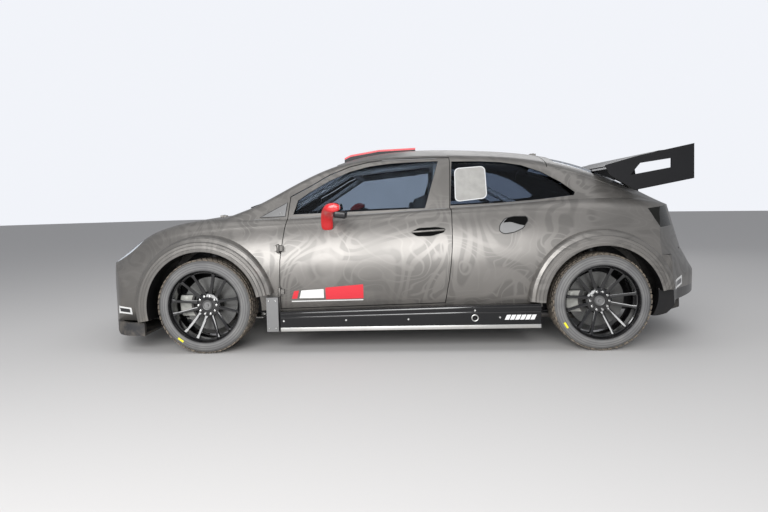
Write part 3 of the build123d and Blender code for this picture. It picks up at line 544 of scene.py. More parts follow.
def finish(name, colour, roughness, metallic=0.0, drift_scale=6.0, colour_drift=0.15, gloss_drift=0.1,
           grain_scale=0.0, grain_depth=0.3, dust_amount=0.0, **sockets):
    """A solid finish with drift, optional grain and optional road dust."""
    material = new_material(name, colour, roughness, metallic, **sockets)
    last = place_group(material, drift, Color=(*colour, 1), Roughness=roughness, Scale=drift_scale,
                       Colour_Drift=colour_drift, Gloss_Drift=gloss_drift)
    if dust_amount:
        film = place_group(material, dust, Amount=dust_amount, Height=DUST_HEIGHT)
        for label in ("Color", "Roughness"):
            material.node_tree.links.new(last.outputs[label], film.inputs[label])
        last = film
    feed(material, Base_Color=last.outputs["Color"], Roughness=last.outputs["Roughness"])
    if grain_scale:
        pits = place_group(material, grain, Scale=grain_scale, Depth=1.0)
        add_bump(material, pits.outputs["Height"], grain_depth, 0.001)
    return material


# %% Body wrap
WRAP_GROUND, WRAP_PRINT = (0.150, 0.143, 0.134, 1), (0.200, 0.190, 0.178, 1)


def wrap_finish(name):
    """The printed satin film: two sets of contour bands, dust low down, black inside."""
    material = new_material(name, WRAP_GROUND[:3], 0.36, 0.55, Coat_Weight=0.15, Coat_Roughness=0.25)
    tree = material.node_tree
    wide = place_group(material, bands, Ground=WRAP_GROUND, Print=WRAP_PRINT, Scale=1.9, Bands=9.0,
                       Width=0.50)
    narrow = place_group(material, bands, Scale=2.7, Bands=13.0, Width=0.80)
    tree.links.new(wide.outputs["Color"], narrow.inputs["Ground"])
    narrow.inputs["Print"].default_value = (0.206, 0.196, 0.184, 1)
    film = place_group(material, dust, Amount=0.4, Height=0.42, Roughness=0.4)
    hide = place_group(material, inside, Inside=(0.012, 0.012, 0.013, 1))
    tree.links.new(narrow.outputs["Color"], film.inputs["Color"])
    tree.links.new(film.outputs["Color"], hide.inputs["Outside"])
    tree.links.new(remap(tree, wide.outputs["Mask"], 0.0, 1.0, 0.37, 0.34), film.inputs["Roughness"])
    feed(material, Base_Color=hide.outputs["Color"], Roughness=film.outputs["Roughness"])
    return material


wrap = wrap_finish("satin_wrap")
print("material", wrap.name)

# %% Paints, plastics and metals
red_paint = finish("gloss_red", (0.62, 0.018, 0.022), 0.28, drift_scale=3.0, colour_drift=0.1,
                   Coat_Weight=0.6, Coat_Roughness=0.08)
gloss_black = finish("gloss_black", (0.006, 0.006, 0.007), 0.14, drift_scale=9.0, dust_amount=0.04,
                     Coat_Weight=0.8, Coat_Roughness=0.05)
composite = finish("satin_composite", (0.008, 0.008, 0.009), 0.30, drift_scale=4.0, dust_amount=0.05,
                   Coat_Weight=0.15, Coat_Roughness=0.12, Specular_IOR_Level=0.35)
matt_plastic = finish("matt_plastic", (0.028, 0.028, 0.030), 0.62, drift_scale=8.0, grain_scale=700.0,
                      dust_amount=0.5)
rubber_seal = finish("rubber_seal", (0.012, 0.012, 0.012), 0.55, drift_scale=15.0, grain_scale=900.0)
black_steel = finish("black_steel", (0.035, 0.035, 0.038), 0.45, drift_scale=12.0, dust_amount=0.7)
skirt_black = finish("skirt_black", (0.006, 0.006, 0.007), 0.24, drift_scale=9.0, Specular_IOR_Level=0.3,
                     Coat_Weight=0.15, Coat_Roughness=0.05)
bare_aluminium = finish("bare_aluminium", (0.62, 0.62, 0.60), 0.34, 0.9, drift_scale=10.0,
                        grain_scale=250.0, grain_depth=0.1, dust_amount=0.4)
bright_steel = finish("bright_steel", (0.62, 0.62, 0.61), 0.25, 1.0, drift_scale=20.0)
cast_metal = finish("cast_metal", (0.22, 0.22, 0.22), 0.55, 0.8, drift_scale=18.0, grain_scale=300.0)
cage_paint = finish("cage_paint", (0.66, 0.67, 0.68), 0.35, drift_scale=5.0, Coat_Weight=0.3)
pale_caliper = finish("pale_caliper", (0.40, 0.40, 0.37), 0.45, 0.3, drift_scale=30.0,
                      grain_scale=400.0)
paper = finish("printed_paper", (0.30, 0.295, 0.28), 0.6, drift_scale=22.0, colour_drift=0.5)
white_vinyl = finish("white_vinyl", (0.78, 0.78, 0.77), 0.35, drift_scale=5.0, colour_drift=0.05)
red_vinyl = finish("red_vinyl", (0.66, 0.03, 0.045), 0.35, drift_scale=5.0, colour_drift=0.05)
yellow_chalk = finish("yellow_chalk", (0.80, 0.74, 0.03), 0.75, drift_scale=60.0, colour_drift=0.5)
cloth = finish("seat_cloth", (0.022, 0.022, 0.026), 0.9, drift_scale=10.0, grain_scale=1200.0,
               grain_depth=0.6, Sheen_Weight=0.3)
# deep_shade is painted shade: a dull near-black film laid where a hollow would be dark, in the handle recess
# and the intake mouth.
deep_shade = new_material("deep_shade", (0.003, 0.003, 0.003), 0.95, Specular_IOR_Level=0.1)
mirror_glass = finish("mirror_glass", (0.75, 0.77, 0.80), 0.03, 1.0, gloss_drift=0.0)
print("finishes", len(bpy.data.materials))


# %% Glass
GLASS_ROUGHNESS = 0.02


def glass(name, colour):
    """Tinted glass with a faint film of dust."""
    material = new_material(name, colour, GLASS_ROUGHNESS, Transmission_Weight=1.0, IOR=1.28)
    film = place_group(material, drift, Color=(*colour, 1), Roughness=GLASS_ROUGHNESS, Scale=5.0,
                       Colour_Drift=0.12, Gloss_Drift=0.04)
    feed(material, Base_Color=film.outputs["Color"], Roughness=film.outputs["Roughness"])
    return material


clear_glass = glass("clear_glass", (0.42, 0.47, 0.53))
tinted_glass = glass("tinted_glass", (0.27, 0.31, 0.37))
lamp_lens = glass("lamp_lens", (0.80, 0.84, 0.88))
smoked_lens = finish("smoked_lens", (0.012, 0.012, 0.011), 0.22, drift_scale=4.0, Coat_Weight=0.04,
                     Coat_Roughness=0.08, Specular_IOR_Level=0.12)
print("glass done")

# %% [markdown]
# Tyre rubber is two finishes: the sidewall is grey and faintly ringed, the tread is brown with dust.
# Rings are a wave of the distance from the axle, read from the wheel's own coordinates.

# %% Tyre rubber
def rings(tree, closeness):
    """A wave of the distance from the axle."""
    return math_node(tree, "SINE", math_node(tree, "MULTIPLY", axle_distance(tree), closeness))


sidewall = new_material("tyre_sidewall", (0.10, 0.10, 0.102), 0.62)
tree = sidewall.node_tree
pale = remap(tree, noise_node(tree, object_coordinates(tree), 9.0, 6.0, 0.5), 0.3, 0.7, 0.0, 0.7)
grooves = remap(tree, rings(tree, 420.0), 0.55, 1.0)
dusty = mix_colour(tree, pale, (0.125, 0.125, 0.127), (0.220, 0.216, 0.208))
feed(sidewall, Base_Color=mix_colour(tree, grooves, dusty, (0.070, 0.070, 0.071)))
add_bump(sidewall, rings(tree, 900.0), 0.15, 0.0008)

tread_rubber = new_material("tyre_tread", (0.12, 0.10, 0.08), 0.85)
tree = tread_rubber.node_tree
clods = remap(tree, noise_node(tree, object_coordinates(tree), 38.0, 8.0, 0.6, 0.7), 0.38, 0.66)
feed(tread_rubber, Base_Color=mix_colour(tree, clods, (0.075, 0.068, 0.060), (0.235, 0.195, 0.150)))
add_bump(tread_rubber, clods, 0.5, 0.002)
print("tyre rubber done")

# %% Brake disc steel, brushed round the axle
disc_steel = new_material("disc_steel", (0.5, 0.5, 0.5), 0.32, 1.0)
tree = disc_steel.node_tree
brushed = rings(tree, 2600.0)
feed(disc_steel, Roughness=remap(tree, brushed, -1.0, 1.0, 0.30, 0.44),
     Base_Color=mix_colour(tree, remap(tree, brushed, -1.0, 1.0), (0.10, 0.10, 0.098), (0.19, 0.19, 0.185)))
print("disc steel done")

# %% [markdown]
# A CAD node keeps its mesh and only takes a finish. In model.glb each CAD face is smoothed by itself,
# which leaves faint seams where two smooth faces meet, so a small modifier joins the loose triangles and
# keeps an edge sharp only where the panel really bends.

# %% Give the CAD nodes their finish
PANEL_BEND = 28


def panel_smoother():
    """A geometry node group: merge, shade smooth, keep edges above an angle sharp."""
    group = bpy.data.node_groups.new("panel_smoother", "GeometryNodeTree")
    group.interface.new_socket(name="Geometry", in_out="INPUT", socket_type="NodeSocketGeometry")
    group.interface.new_socket(name="Geometry", in_out="OUTPUT", socket_type="NodeSocketGeometry")
    start, end = group.nodes.new("NodeGroupInput"), group.nodes.new("NodeGroupOutput")
    merge = group.nodes.new("GeometryNodeMergeByDistance")
    merge.inputs["Distance"].default_value = 0.00002
    bend = group.nodes.new("GeometryNodeInputMeshEdgeAngle")
    limit = group.nodes.new("FunctionNodeCompare")
    limit.operation = "LESS_THAN"
    limit.inputs[1].default_value = math.radians(PANEL_BEND)
    whole = group.nodes.new("GeometryNodeSetShadeSmooth")
    whole.domain = "FACE"
    edges = group.nodes.new("GeometryNodeSetShadeSmooth")
    edges.domain = "EDGE"
    group.links.new(start.outputs[0], merge.inputs["Geometry"])
    group.links.new(merge.outputs[0], whole.inputs["Geometry"])
    group.links.new(whole.outputs[0], edges.inputs["Geometry"])
    group.links.new(bend.outputs["Unsigned Angle"], limit.inputs[0])
    group.links.new(limit.outputs[0], edges.inputs["Shade Smooth"])
    group.links.new(edges.outputs[0], end.inputs[0])
    return group


smoother = panel_smoother()
finishes = [
    (wrap, ["body_shell", "front_fender_left", "front_fender_right", "front_bumper", "rear_bumper",
            "door_left", "door_right", "bonnet", "tailgate", "roof_scoop"]),
    (matt_plastic, ["front_grille", "front_splitter", "rear_diffuser", "dashboard", "fuel_cell",
                    "steering_wheel"]),
    (skirt_black, ["side_skirts"]),
    (composite, ["rear_wing", "seats"]),
    (clear_glass, ["windscreen", "door_glass_left", "door_glass_right"]),
    (tinted_glass, ["quarter_windows", "rear_window"]),
    (smoked_lens, ["tail_lamps"]),
    (lamp_lens, ["headlamps"]),
    (red_paint, ["mirror_left", "mirror_right"]),
    (cage_paint, ["roll_cage"]),
    (cast_metal, ["engine", "mud_guards"]),
    (bare_aluminium, ["skid_plate"]),
    (black_steel, ["front_subframe", "rear_suspension", "knuckle_left", "knuckle_right"]),
    (bright_steel, ["exhaust"]),
    (sidewall, [name for name in nodes if name.startswith("tyre_")]),
    (gloss_black, [name for name in nodes if name.startswith("rim_")]),
    (disc_steel, [name for name in nodes if name.startswith("brake_disc_")]),
]
for material, members in finishes:
    for node in members:
        piece = nodes[node]
        piece.data.materials.clear()
        piece.data.materials.append(material)
        old_normals = piece.data.attributes.get("custom_normal")
        if old_normals:
            piece.data.attributes.remove(old_normals)
        modifier = piece.modifiers.new("panel_smoother", "NODES")
        modifier.node_group = smoother
print("finished nodes", sum(len(members) for _, members in finishes), "of", len(nodes))

# %% [markdown]
# The real nose is lower and rounder than the solid one, and the rear bumper leans and curves in at its
# corners. A CAD node is never changed, but a merged copy may be: its long edges are divided, each
# point is moved by a smooth rule that fades out before the next panel, and the copy stands for it.

# %% Helpers that bend a copy of a CAD node
def ramp(value, low, high):
    """0 below low, 1 above high, and smooth between."""
    share = min(1.0, max(0.0, (value - low) / (high - low)))
    return share * share * (3 - 2 * share)


def bent_copy(node, bend, longest=0.05):
    """A merged copy of a CAD node, divided where it bends, with each point moved."""
    bm = bmesh.new()
    bm.from_mesh(nodes[node].data)
    bmesh.ops.remove_doubles(bm, verts=bm.verts, dist=2e-5)
    for _ in range(5):
        stretched = [e for e in bm.edges if e.calc_length() > longest
                     and any((bend(v.co) - v.co).length > 0.0005 for v in e.verts)]
        if not stretched:
            break
        bmesh.ops.subdivide_edges(bm, edges=stretched, cuts=1)
        bmesh.ops.triangulate(bm, faces=[f for f in bm.faces if len(f.verts) > 3])
    for vert in bm.verts:
        vert.co = bend(vert.co)
    return bm


def stand_for(node, bm, name, materials):
    """Show a bent copy in place of its CAD node, and lay trim on the bent skin."""
    skins[node] = BVHTree.FromBMesh(bm)
    piece = make_piece(name, bm, nodes[node]["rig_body"], materials, PANEL_BEND, recalculate=False)
    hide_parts(node)
    return piece


# %% A lower, rounder nose
def bend_nose(place):
    """Lower the front corner and draw its top edge back."""
    share = ramp(-place.x, 1.62, 2.02)
    drop = 0.052 * share * ramp(place.z, 0.43, 0.70)
    back = 0.034 * ramp(-place.x, 1.90, 2.12) * ramp(place.z, 0.40, 0.66)
    inwards = (1 if place.y < 0 else -1)
    tuck = 0.020 * share * ramp(place.z, 0.52, 0.72) * inwards * ramp(abs(place.y), 0.3, 0.7)
    return Vector((place.x + back, place.y + tuck, place.z - drop))


for node in ("front_bumper", "front_fender_left", "front_fender_right"):
    stand_for(node, bent_copy(node, bend_nose), f"{node}_skin", wrap)
stand_for("bonnet", bent_copy("bonnet", bend_nose), "bonnet_skin", wrap)
stand_for("headlamps", bent_copy("headlamps", bend_nose), "headlamp_lenses", lamp_lens)
corner = Vector((-2.1, 0, 0.7))
print("nose bent by up to", round((bend_nose(corner) - corner).length * 1000), "mm")

# %% A leaning rear bumper with rounder corners
def bend_tail(place):
    """Lean the bumper's face forwards and draw its corners in."""
    share = ramp(place.x, 1.66, 1.86)
    lean = 0.62 * max(0.0, place.z - 0.45)
    corner = ramp(abs(place.y), 0.25, 0.78) * (0.070 - 0.050 * ramp(place.z, 0.45, 0.60))
    return Vector((place.x - share * (lean + corner), place.y, place.z))


# Below a sloped foot line lies the bumper's separate lower valance. Its faces take the dark composite:
# painted shade, for the valance is wrap like the bumper above it.
FOOT_X, FOOT_Z, FOOT_SLOPE = 1.9, 0.368, 0.06
bumper = bent_copy("rear_bumper", bend_tail)
cut_through(bumper, (FOOT_X, 0, FOOT_Z), (FOOT_SLOPE, 0, 1))
for face in bumper.faces:
    middle = face.calc_center_median()
    face.material_index = int(middle.z + FOOT_SLOPE * (middle.x - FOOT_X) < FOOT_Z)
stand_for("rear_bumper", bumper, "rear_bumper_skin", [wrap, composite])


def draw_in(place):
    """Shorten the diffuser so that it ends under the bumper."""
    return Vector((min(place.x, 1.82) + 0.5 * max(0.0, place.x - 1.82), place.y, place.z))


stand_for("rear_diffuser", bent_copy("rear_diffuser", draw_in, 0.2), "rear_diffuser_short",
          matt_plastic)
print("tail bent")

# %% [markdown]
# The roof scoop is dark below and red on top. Its copy is cut just under its top line, and the faces
# above the cut take the red.

# %% Roof scoop with a red top
scoop = bent_copy("roof_scoop", lambda place: place)
SCOOP_TOP = [(-0.414, 1.298), (-0.366, 1.320), (-0.155, 1.353), (0.118, 1.362)]
RED_DEPTH = 0.013
for (x0, z0), (x1, z1) in zip(SCOOP_TOP, SCOOP_TOP[1:]):
    cut_through(scoop, (x0, 0, z0 - RED_DEPTH), (z0 - z1, 0, x1 - x0))


def under_top(place):
    """How far a point lies under the scoop's top line."""
    for (x0, z0), (x1, z1) in zip(SCOOP_TOP, SCOOP_TOP[1:]):
        if place.x <= x1 or x1 == SCOOP_TOP[-1][0]:
            return z0 + (z1 - z0) * (place.x - x0) / (x1 - x0) - place.z


for face in scoop.faces:
    face.material_index = int(under_top(face.calc_center_median()) < 0.0125)
stand_for("roof_scoop", scoop, "roof_scoop_painted", [matt_plastic, red_vinyl])
print("scoop painted")

# %% [markdown]
# The wheel arches carry wide bolted-on lips with stepped ridges. A lip is a profile spun part of the
# way round the axle: a ring section drawn once, turned from one foot of the arch to the other.

# %% Stepped lips over the wheel arches
LIP_MIDDLE, LIP_STEPS = 0.41, 72
LIP_PROFILE = [
    (-0.880, 0.3594), (-0.9355, 0.3594), (-0.9360, 0.3615), (-0.9360, 0.3780), (-0.9315, 0.3825),
    (-0.9305, 0.3990), (-0.9265, 0.4035), (-0.9262, 0.4180), (-0.9150, 0.4250), (-0.9065, 0.4440),
    (-0.8960, 0.4520), (-0.8660, 0.4585), (-0.7900, 0.4610), (-0.7900, 0.4400), (-0.8800, 0.4200)]


def arch_lip(axle_x, front_foot, rear_foot):
    """A left arch lip: the profile spun from the rear foot over the top to the front foot."""
    bm = bmesh.new()
    verts = [bm.verts.new((radius, y, 0)) for y, radius in LIP_PROFILE]
    edges = [bm.edges.new(pair) for pair in zip(verts, verts[1:] + verts[:1])]
    first = math.asin((rear_foot - WHEEL_RADIUS) / LIP_MIDDLE)
    last = math.pi - math.asin((front_foot - WHEEL_RADIUS) / LIP_MIDDLE)
    start = bm.faces.new(verts)
    bmesh.ops.spin(bm, geom=[start], cent=(0, 0, 0), axis=(0, 1, 0), angle=-(last - first),
                   steps=LIP_STEPS)
    bmesh.ops.recalc_face_normals(bm, faces=bm.faces)
    return moved(bm, Matrix.Translation((axle_x, 0, WHEEL_RADIUS)) @ Matrix.Rotation(-first, 4, "Y"))


make_pair("arch_lip_front", arch_lip(-AXLE_X, 0.222, 0.385), SHELL, wrap, 24)
make_pair("arch_lip_rear", arch_lip(AXLE_X, 0.320, 0.395), SHELL, wrap, 24)
print("arch lips done")

# %% [markdown]
# The door mirror is one flowing arm: a flat foot on the door that turns outwards into a pod. It is
# lofted: rings of points are set along its path, each turned and stretched, and bridged in order.

# %% Helper that lofts rings
RING_SIDES = 28


def lofted(sections):
    """Bridge ellipses: each is (centre, direction, half along the first axis, half across)."""
    bm = bmesh.new()
    rings = []
    for centre, direction, half_long, half_thick in sections:
        made = bmesh.ops.create_circle(bm, cap_ends=False, segments=RING_SIDES, radius=1.0)["verts"]
        forward = Vector(direction).normalized()
        first = (Vector((1, 0, 0)) - forward * forward.x).normalized()
        second = forward.cross(first)
        turn = Matrix((first * half_long, second * half_thick, forward)).transposed().to_4x4()
        bmesh.ops.transform(bm, matrix=Matrix.Translation(centre) @ turn, verts=made)
        rings.append(made)
    for lower, upper in zip(rings, rings[1:]):
        edges = {e for v in lower + upper for e in v.link_edges
                 if all(w in lower for w in e.verts) or all(w in upper for w in e.verts)}
        bmesh.ops.bridge_loops(bm, edges=list(edges))
    for ring in (rings[0], rings[-1]):
        bm.faces.new(ring)
    bmesh.ops.recalc_face_normals(bm, faces=bm.faces)
    return bm


# %% Door mirrors
ARM = [((-0.466, -0.788, 0.783), (0, -0.40, 1), 0.041, 0.014),
       ((-0.465, -0.826, 0.838), (0, -0.60, 1), 0.039, 0.013),
       ((-0.460, -0.860, 0.876), (0.1, -0.85, 1), 0.038, 0.015),
       ((-0.446, -0.895, 0.905), (0.25, -1.0, 0.75), 0.043, 0.021),
       ((-0.424, -0.932, 0.925), (0.28, -1, 0.28), 0.050, 0.029),
       ((-0.408, -0.966, 0.934), (0.1, -1, 0.05), 0.053, 0.033),
       ((-0.402, -0.986, 0.935), (0, -1, 0), 0.047, 0.029),
       ((-0.400, -0.997, 0.935), (0, -1, 0), 0.030, 0.018)]
arm_left = lofted(ARM)
arm_right = mirrored(arm_left)
for side, bm in (("left", arm_left), ("right", arm_right)):
    piece = make_piece(f"mirror_arm_{side}", bm, f"door_{side}", red_paint, 40)
    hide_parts(f"mirror_{side}")
    polish = piece.modifiers.new("polish", "SUBSURF")
    polish.levels = polish.render_levels = 1
pod = box((-0.362, -0.952, 0.892), (0.082, 0.074, 0.046), 0.013, 4,
          Matrix.Rotation(math.radians(8), 3, "Y"))
make_pair("mirror_case", pod, DOORS, composite, 50)
pane = turned([(0.0, 0.0), (0.0, 0.052), (0.002, 0.054), (0.004, 0.052), (0.004, 0.0)], steps=40)
bmesh.ops.scale(pane, vec=(0.9, 1, 0.46), verts=pane.verts)
pane = moved(pane, Matrix.Translation((-0.3555, -0.946, 0.934))
             @ Matrix.Rotation(math.radians(84), 4, "Z"))
make_pair("mirror_pane", pane, DOORS, mirror_glass, 40)
print("mirrors done")

# %% [markdown]
# Wheels. A tyre's section is a rounded loop, spun about the axle; its tread is a ring of small
# blocks in five ribs. The rim is a spun barrel with six pairs of slim tapered spokes, which run
# from the hub to the barrel's edge. Each is built once, then moved to the four corners.

# %% Tyre with tread blocks
TYRE_SIDE = [(0.012, 0.2325), (0.004, 0.2365), (0.001, 0.244), (0, 0.255), (0.0005, 0.268), (0.004, 0.280),
             (0.009, 0.290), (0.017, 0.298), (0.028, 0.3025), (0.045, 0.3045)]
TREAD_RIBS = [(-0.083, 0.026, 0.3052, 12), (-0.046, 0.034, 0.3092, 3), (0.0, 0.040, 0.3097, 0),
              (0.046, 0.034, 0.3092, -3), (0.083, 0.026, 0.3052, -12)]
PITCHES = 54


def tyre_mesh():
    """A left tyre about the origin, outer side at -Y: material 0 sidewall, material 1 tread."""
    side = [(HALF_TYRE - inset, radius) for inset, radius in TYRE_SIDE]
    section = side + [(0.0, 0.3055)] + [(-y, r) for y, r in reversed(side)]
    body = turned(section, steps=120, closed=True)
    for face in body.faces:
        centre = face.calc_center_median()
        face.material_index = 1 if math.hypot(centre.x, centre.z) > 0.3005 else 0
    blocks = []
    for index, (y, width, top, tilt) in enumerate(TREAD_RIBS):
        turn = Matrix.Rotation(math.radians(tilt), 3, "Z") @ Matrix.Rotation(0.16, 3, "X")
        for step in range(PITCHES):
            angle = math.tau * (step + 0.5 * (index % 2)) / PITCHES
            block = box((top - 0.004, y, 0), (0.008, width, 0.029), 0.0012, 1, turn)
            blocks.append(moved(block, Matrix.Rotation(-angle, 4, "Y")))
    tread = gather(blocks)
    for face in tread.faces:
        face.material_index = 1
    return gather([body, tread])


def at_wheel(name, bm, end, side, materials, crease=35, body=None):
    """A piece built about the origin, set on a wheel or its carrier; its outer side faces outwards."""
    middle = (TYRE_OUTER + TYRE_INNER) / 2
    x = -AXLE_X if end == "front" else AXLE_X
    if side == "right":
        bm = mirrored(bm)
    bm = moved(bm, Matrix.Translation((x, -middle if side == "left" else middle, WHEEL_RADIUS)))
    return make_piece(f"{name}_{end}_{side}", bm, body or f"wheel_{end}_{side}", materials, crease)


corners = [(end, side) for end in ("front", "rear") for side in ("left", "right")]
tyre_master = tyre_mesh()
for end, side in corners:
    piece = at_wheel("tyre_detail", tyre_master.copy(), end, side, [sidewall, tread_rubber], 40)
    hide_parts(f"tyre_{end}_{side}")
print("tyre faces", len(tyre_master.faces))
tyre_master.free()

# %% Rim with six pairs of spokes
HUB_Y = -0.010
HUB_RADIUS, SPOKE_TIP = 0.066, 0.219
SPOKE_SPREAD, FOOT_SPREAD = math.radians(11.5), math.radians(17)
INNER_BARREL = [(0.010, 0.2305), (0.003, 0.2385), (0.0005, 0.2385), (0.001, 0.2335), (0.012, 0.2270),
                (0.030, 0.2235), (0.034, 0.2180), (0.070, 0.2120)]
OUTER_BARREL = [(0.030, 0.2160), (0.006, 0.2260), (0.001, 0.2385), (0.004, 0.2385), (0.012, 0.2320)]


def hub_profile(*points):
    """Points of (y from the hub's face, radius) as a profile."""
    return [(HUB_Y + y, radius) for y, radius in points]


def spoke_mesh(angle, foot_angle):
    """One slim spoke: a tapered bar from the hub to the barrel, leaning outwards."""
    foot = Vector((HUB_RADIUS * math.cos(foot_angle), 0, HUB_RADIUS * math.sin(foot_angle)))
    tip = Vector((SPOKE_TIP * math.cos(angle), 0, SPOKE_TIP * math.sin(angle)))
    along = tip - foot
    length = along.length
    bm = bmesh.new()
    bmesh.ops.create_cube(bm, size=1.0)
    lengthwise = [e for e in bm.edges if abs((e.verts[0].co - e.verts[1].co).x) > 0.5]
    bmesh.ops.subdivide_edges(bm, edges=lengthwise, cuts=5)
    for vert in bm.verts:
        t = vert.co.x + 0.5
        outward = -0.024 - 0.056 * t ** 1.4
        depth = 0.026 - 0.004 * t + 0.010 * max(0.0, t - 0.8) * 5
        width = 0.0172 + 0.007 * (1 - t) ** 2 + 0.008 * max(0.0, t - 0.85) * 6
        vert.co = Vector((t * length, outward + (vert.co.y + 0.5) * depth, vert.co.z * width))
    round_off(bm, [e for e in bm.edges if e.calc_face_angle(0) > 0.6], 0.002)
    turn = Matrix.Rotation(-math.atan2(along.z, along.x), 4, "Y")
    return moved(bm, Matrix.Translation(foot) @ turn)


def rim_mesh():
    """Barrel, lips, hub and twelve spokes of a left wheel about the origin."""
    barrel = turned([(-HALF_TYRE + inset, radius) for inset, radius in INNER_BARREL]
                    + [(HALF_TYRE - inset, radius) for inset, radius in OUTER_BARREL], 96, True)
    hub = turned(hub_profile((0.012, 0.0), (0.012, 0.078), (-0.004, 0.084), (-0.012, 0.080),
                             (-0.018, 0.070), (-0.0215, 0.050), (-0.0215, 0.0)), steps=72)
    spokes = []
    for pair in range(6):
        middle = math.tau * pair / 6 + math.radians(2)
        for hand in (-1, 1):
            spokes.append(spoke_mesh(middle + hand * SPOKE_SPREAD, middle + hand * FOOT_SPREAD))
    return gather([barrel, hub] + spokes)


rim_master = rim_mesh()
for end, side in corners:
    piece = at_wheel("rim_detail", rim_master.copy(), end, side, gloss_black, 32)
    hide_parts(f"rim_{end}_{side}")
print("rim faces", len(rim_master.faces))
rim_master.free()

# %% Wheel nuts, hub cap and chalk mark
def nut_mesh():
    """Ten bright nuts about the origin."""
    parts = []
    for index in range(10):
        angle = math.tau * index / 10
        x, z = 0.060 * math.cos(angle), 0.060 * math.sin(angle)
        parts.append(rod((x, HUB_Y - 0.012, z), (x, HUB_Y - 0.032, z), 0.0082, 6, 0.0015))
    return gather(parts)


def cap_mesh():
    """The pale hub cap about the origin."""
    return turned(hub_profile((-0.020, 0.0), (-0.020, 0.034), (-0.030, 0.033), (-0.034, 0.029),
                              (-0.032, 0.025), (-0.028, 0.023), (-0.028, 0.010), (-0.034, 0.008),
                              (-0.034, 0.0)), steps=48)


for end, side in corners:
    at_wheel("wheel_nuts", nut_mesh(), end, side, bright_steel)
    at_wheel("hub_cap", cap_mesh(), end, side, cast_metal)
    chalk = box((0, -HALF_TYRE + 0.0010, -0.268), (0.042, 0.003, 0.013), 0.001, 1)
    chalk = moved(chalk, Matrix.Rotation(math.radians(37 if end == "front" else 58), 4, "Y"))
    at_wheel("chalk_mark", chalk, end, side, yellow_chalk)
print("wheel hardware done")

# %% Calipers over the CAD blocks
CALIPER_MIDDLE = -0.7925
CALIPER = [(-0.783, 0.125), (-0.783, 0.196), (-0.779, 0.2015), (-0.700, 0.2015), (-0.696, 0.196),
           (-0.696, 0.186), (-0.7195, 0.186), (-0.7575, 0.186), (-0.7575, 0.125)]


def caliper_mesh():
    """A caliper ahead of the axle about the origin of a left wheel."""
    ring = turned([(y - CALIPER_MIDDLE, radius) for y, radius in CALIPER], steps=96, closed=True)
    for normal, point in (((0, 0, 1), (0, 0, 0.060)), ((0, 0, -1), (0, 0, -0.076)),
                          ((1, 0, 0), (-0.05, 0, 0))):
        bmesh.ops.holes_fill(ring, edges=cut_through(ring, point, normal, clear_outer=True))
    parts = [ring]
    for z in (-0.052, -0.004, 0.036):
        x = -math.sqrt(0.163 ** 2 - z ** 2)
        parts.append(rod((x, 0.010, z), (x, 0.0065, z), 0.017, 20, 0.001))
    return gather(parts)


for end, side in corners:
    at_wheel("caliper_cover", caliper_mesh(), end, side, pale_caliper, 30,
             f"knuckle_{side}" if end == "front" else "chassis")
print("calipers done")

# %% [markdown]
# Sills. A gloss black skirt runs between the wheels with two raised ridges, a bright metal strip along
# its foot, small bolts and a ring round the jack socket. Four bolts hold the plain metal mud guard.

# %% Skirt ridges, foot strip, bolts and jack ring
SKIRT_FACE = -0.8881


def on_skirt(outline, thickness, bevel):
    """A flat plate on the left skirt's face."""
    return moved(plate(outline, -thickness, bevel), Matrix.Translation((0, SKIRT_FACE, 0)))


ridges = gather([
    on_skirt([(-0.772, 0.252), (0.316, 0.279), (0.886, 0.285), (0.886, 0.296), (0.316, 0.290),
              (-0.772, 0.263)], 0.0050, 0.0016),
    on_skirt([(-0.772, 0.226), (0.316, 0.247), (0.886, 0.252), (0.886, 0.262), (0.316, 0.257),
              (-0.772, 0.236)], 0.0035, 0.0012)])
make_pair("skirt_ridges", ridges, SHELL, gloss_black, 40)
strip = on_skirt([(-0.774, 0.143), (0.889, 0.1515), (0.889, 0.176), (-0.774, 0.168)], 0.0030, 0.0008)
make_pair("skirt_foot_strip", strip, SHELL, bare_aluminium, 40)


def bolt_head(place, direction, radius=0.0075, height=0.005):
    """A round bolt head with a round socket, standing on a surface."""
    head = turned([(0.0, 0.0), (0.0, radius), (height * 0.6, radius), (height, radius * 0.78),
                   (height, radius * 0.45), (height * 0.4, radius * 0.42), (height * 0.4, 0.0)], steps=16)
    turn = Vector(direction).to_track_quat("Y", "Z").to_matrix().to_4x4()
    return moved(head, Matrix.Translation(place) @ turn)


bolts = gather([bolt_head((x, SKIRT_FACE, z), (0, -1, 0)) for x, z in
                ((-0.753, 0.212), (-0.35, 0.214), (0.05, 0.216), (0.473, 0.268), (0.630, 0.222))])
make_pair("skirt_bolts", bolts, SHELL, bright_steel, 40)
ring = turned([(0.0, 0.0165), (-0.0035, 0.0175), (-0.0045, 0.0200), (-0.0035, 0.0225), (0.0, 0.0235)],
              steps=40, closed=True)
ring = moved(ring, Matrix.Translation((0.473, SKIRT_FACE, 0.219)))
make_pair("jack_ring", ring, SHELL, bare_aluminium, 40)
guard_bolts = gather([bolt_head((x, SKIRT_FACE, z), (0, -1, 0), 0.006, 0.004)
                      for x, z in ((-0.848, 0.345), (-0.804, 0.345), (-0.848, 0.165), (-0.804, 0.165))])
make_pair("guard_bolts", guard_bolts, SHELL, bright_steel, 40)
print("sills dressed")

# %% [markdown]
# Lines that cross the panels: the belt line under the windows and the drip rail over the door glass.
# The belt line is cut at the panel gaps, so that the door carries its own part when it opens. Where
# a ray misses the skin, its point is left out of the line.

# %% Helpers for a line of trim on the skin
OFF_MIDDLE, TRIM_STEPS = 0.3, 10


def walk(points, steps):
    """Places at equal steps along a line of points, without the last point."""
    return [(x0 + (x1 - x0) * share, z0 + (z1 - z0) * share)
            for (x0, z0), (x1, z1) in zip(points, points[1:])
            for share in (step / steps for step in range(steps))]


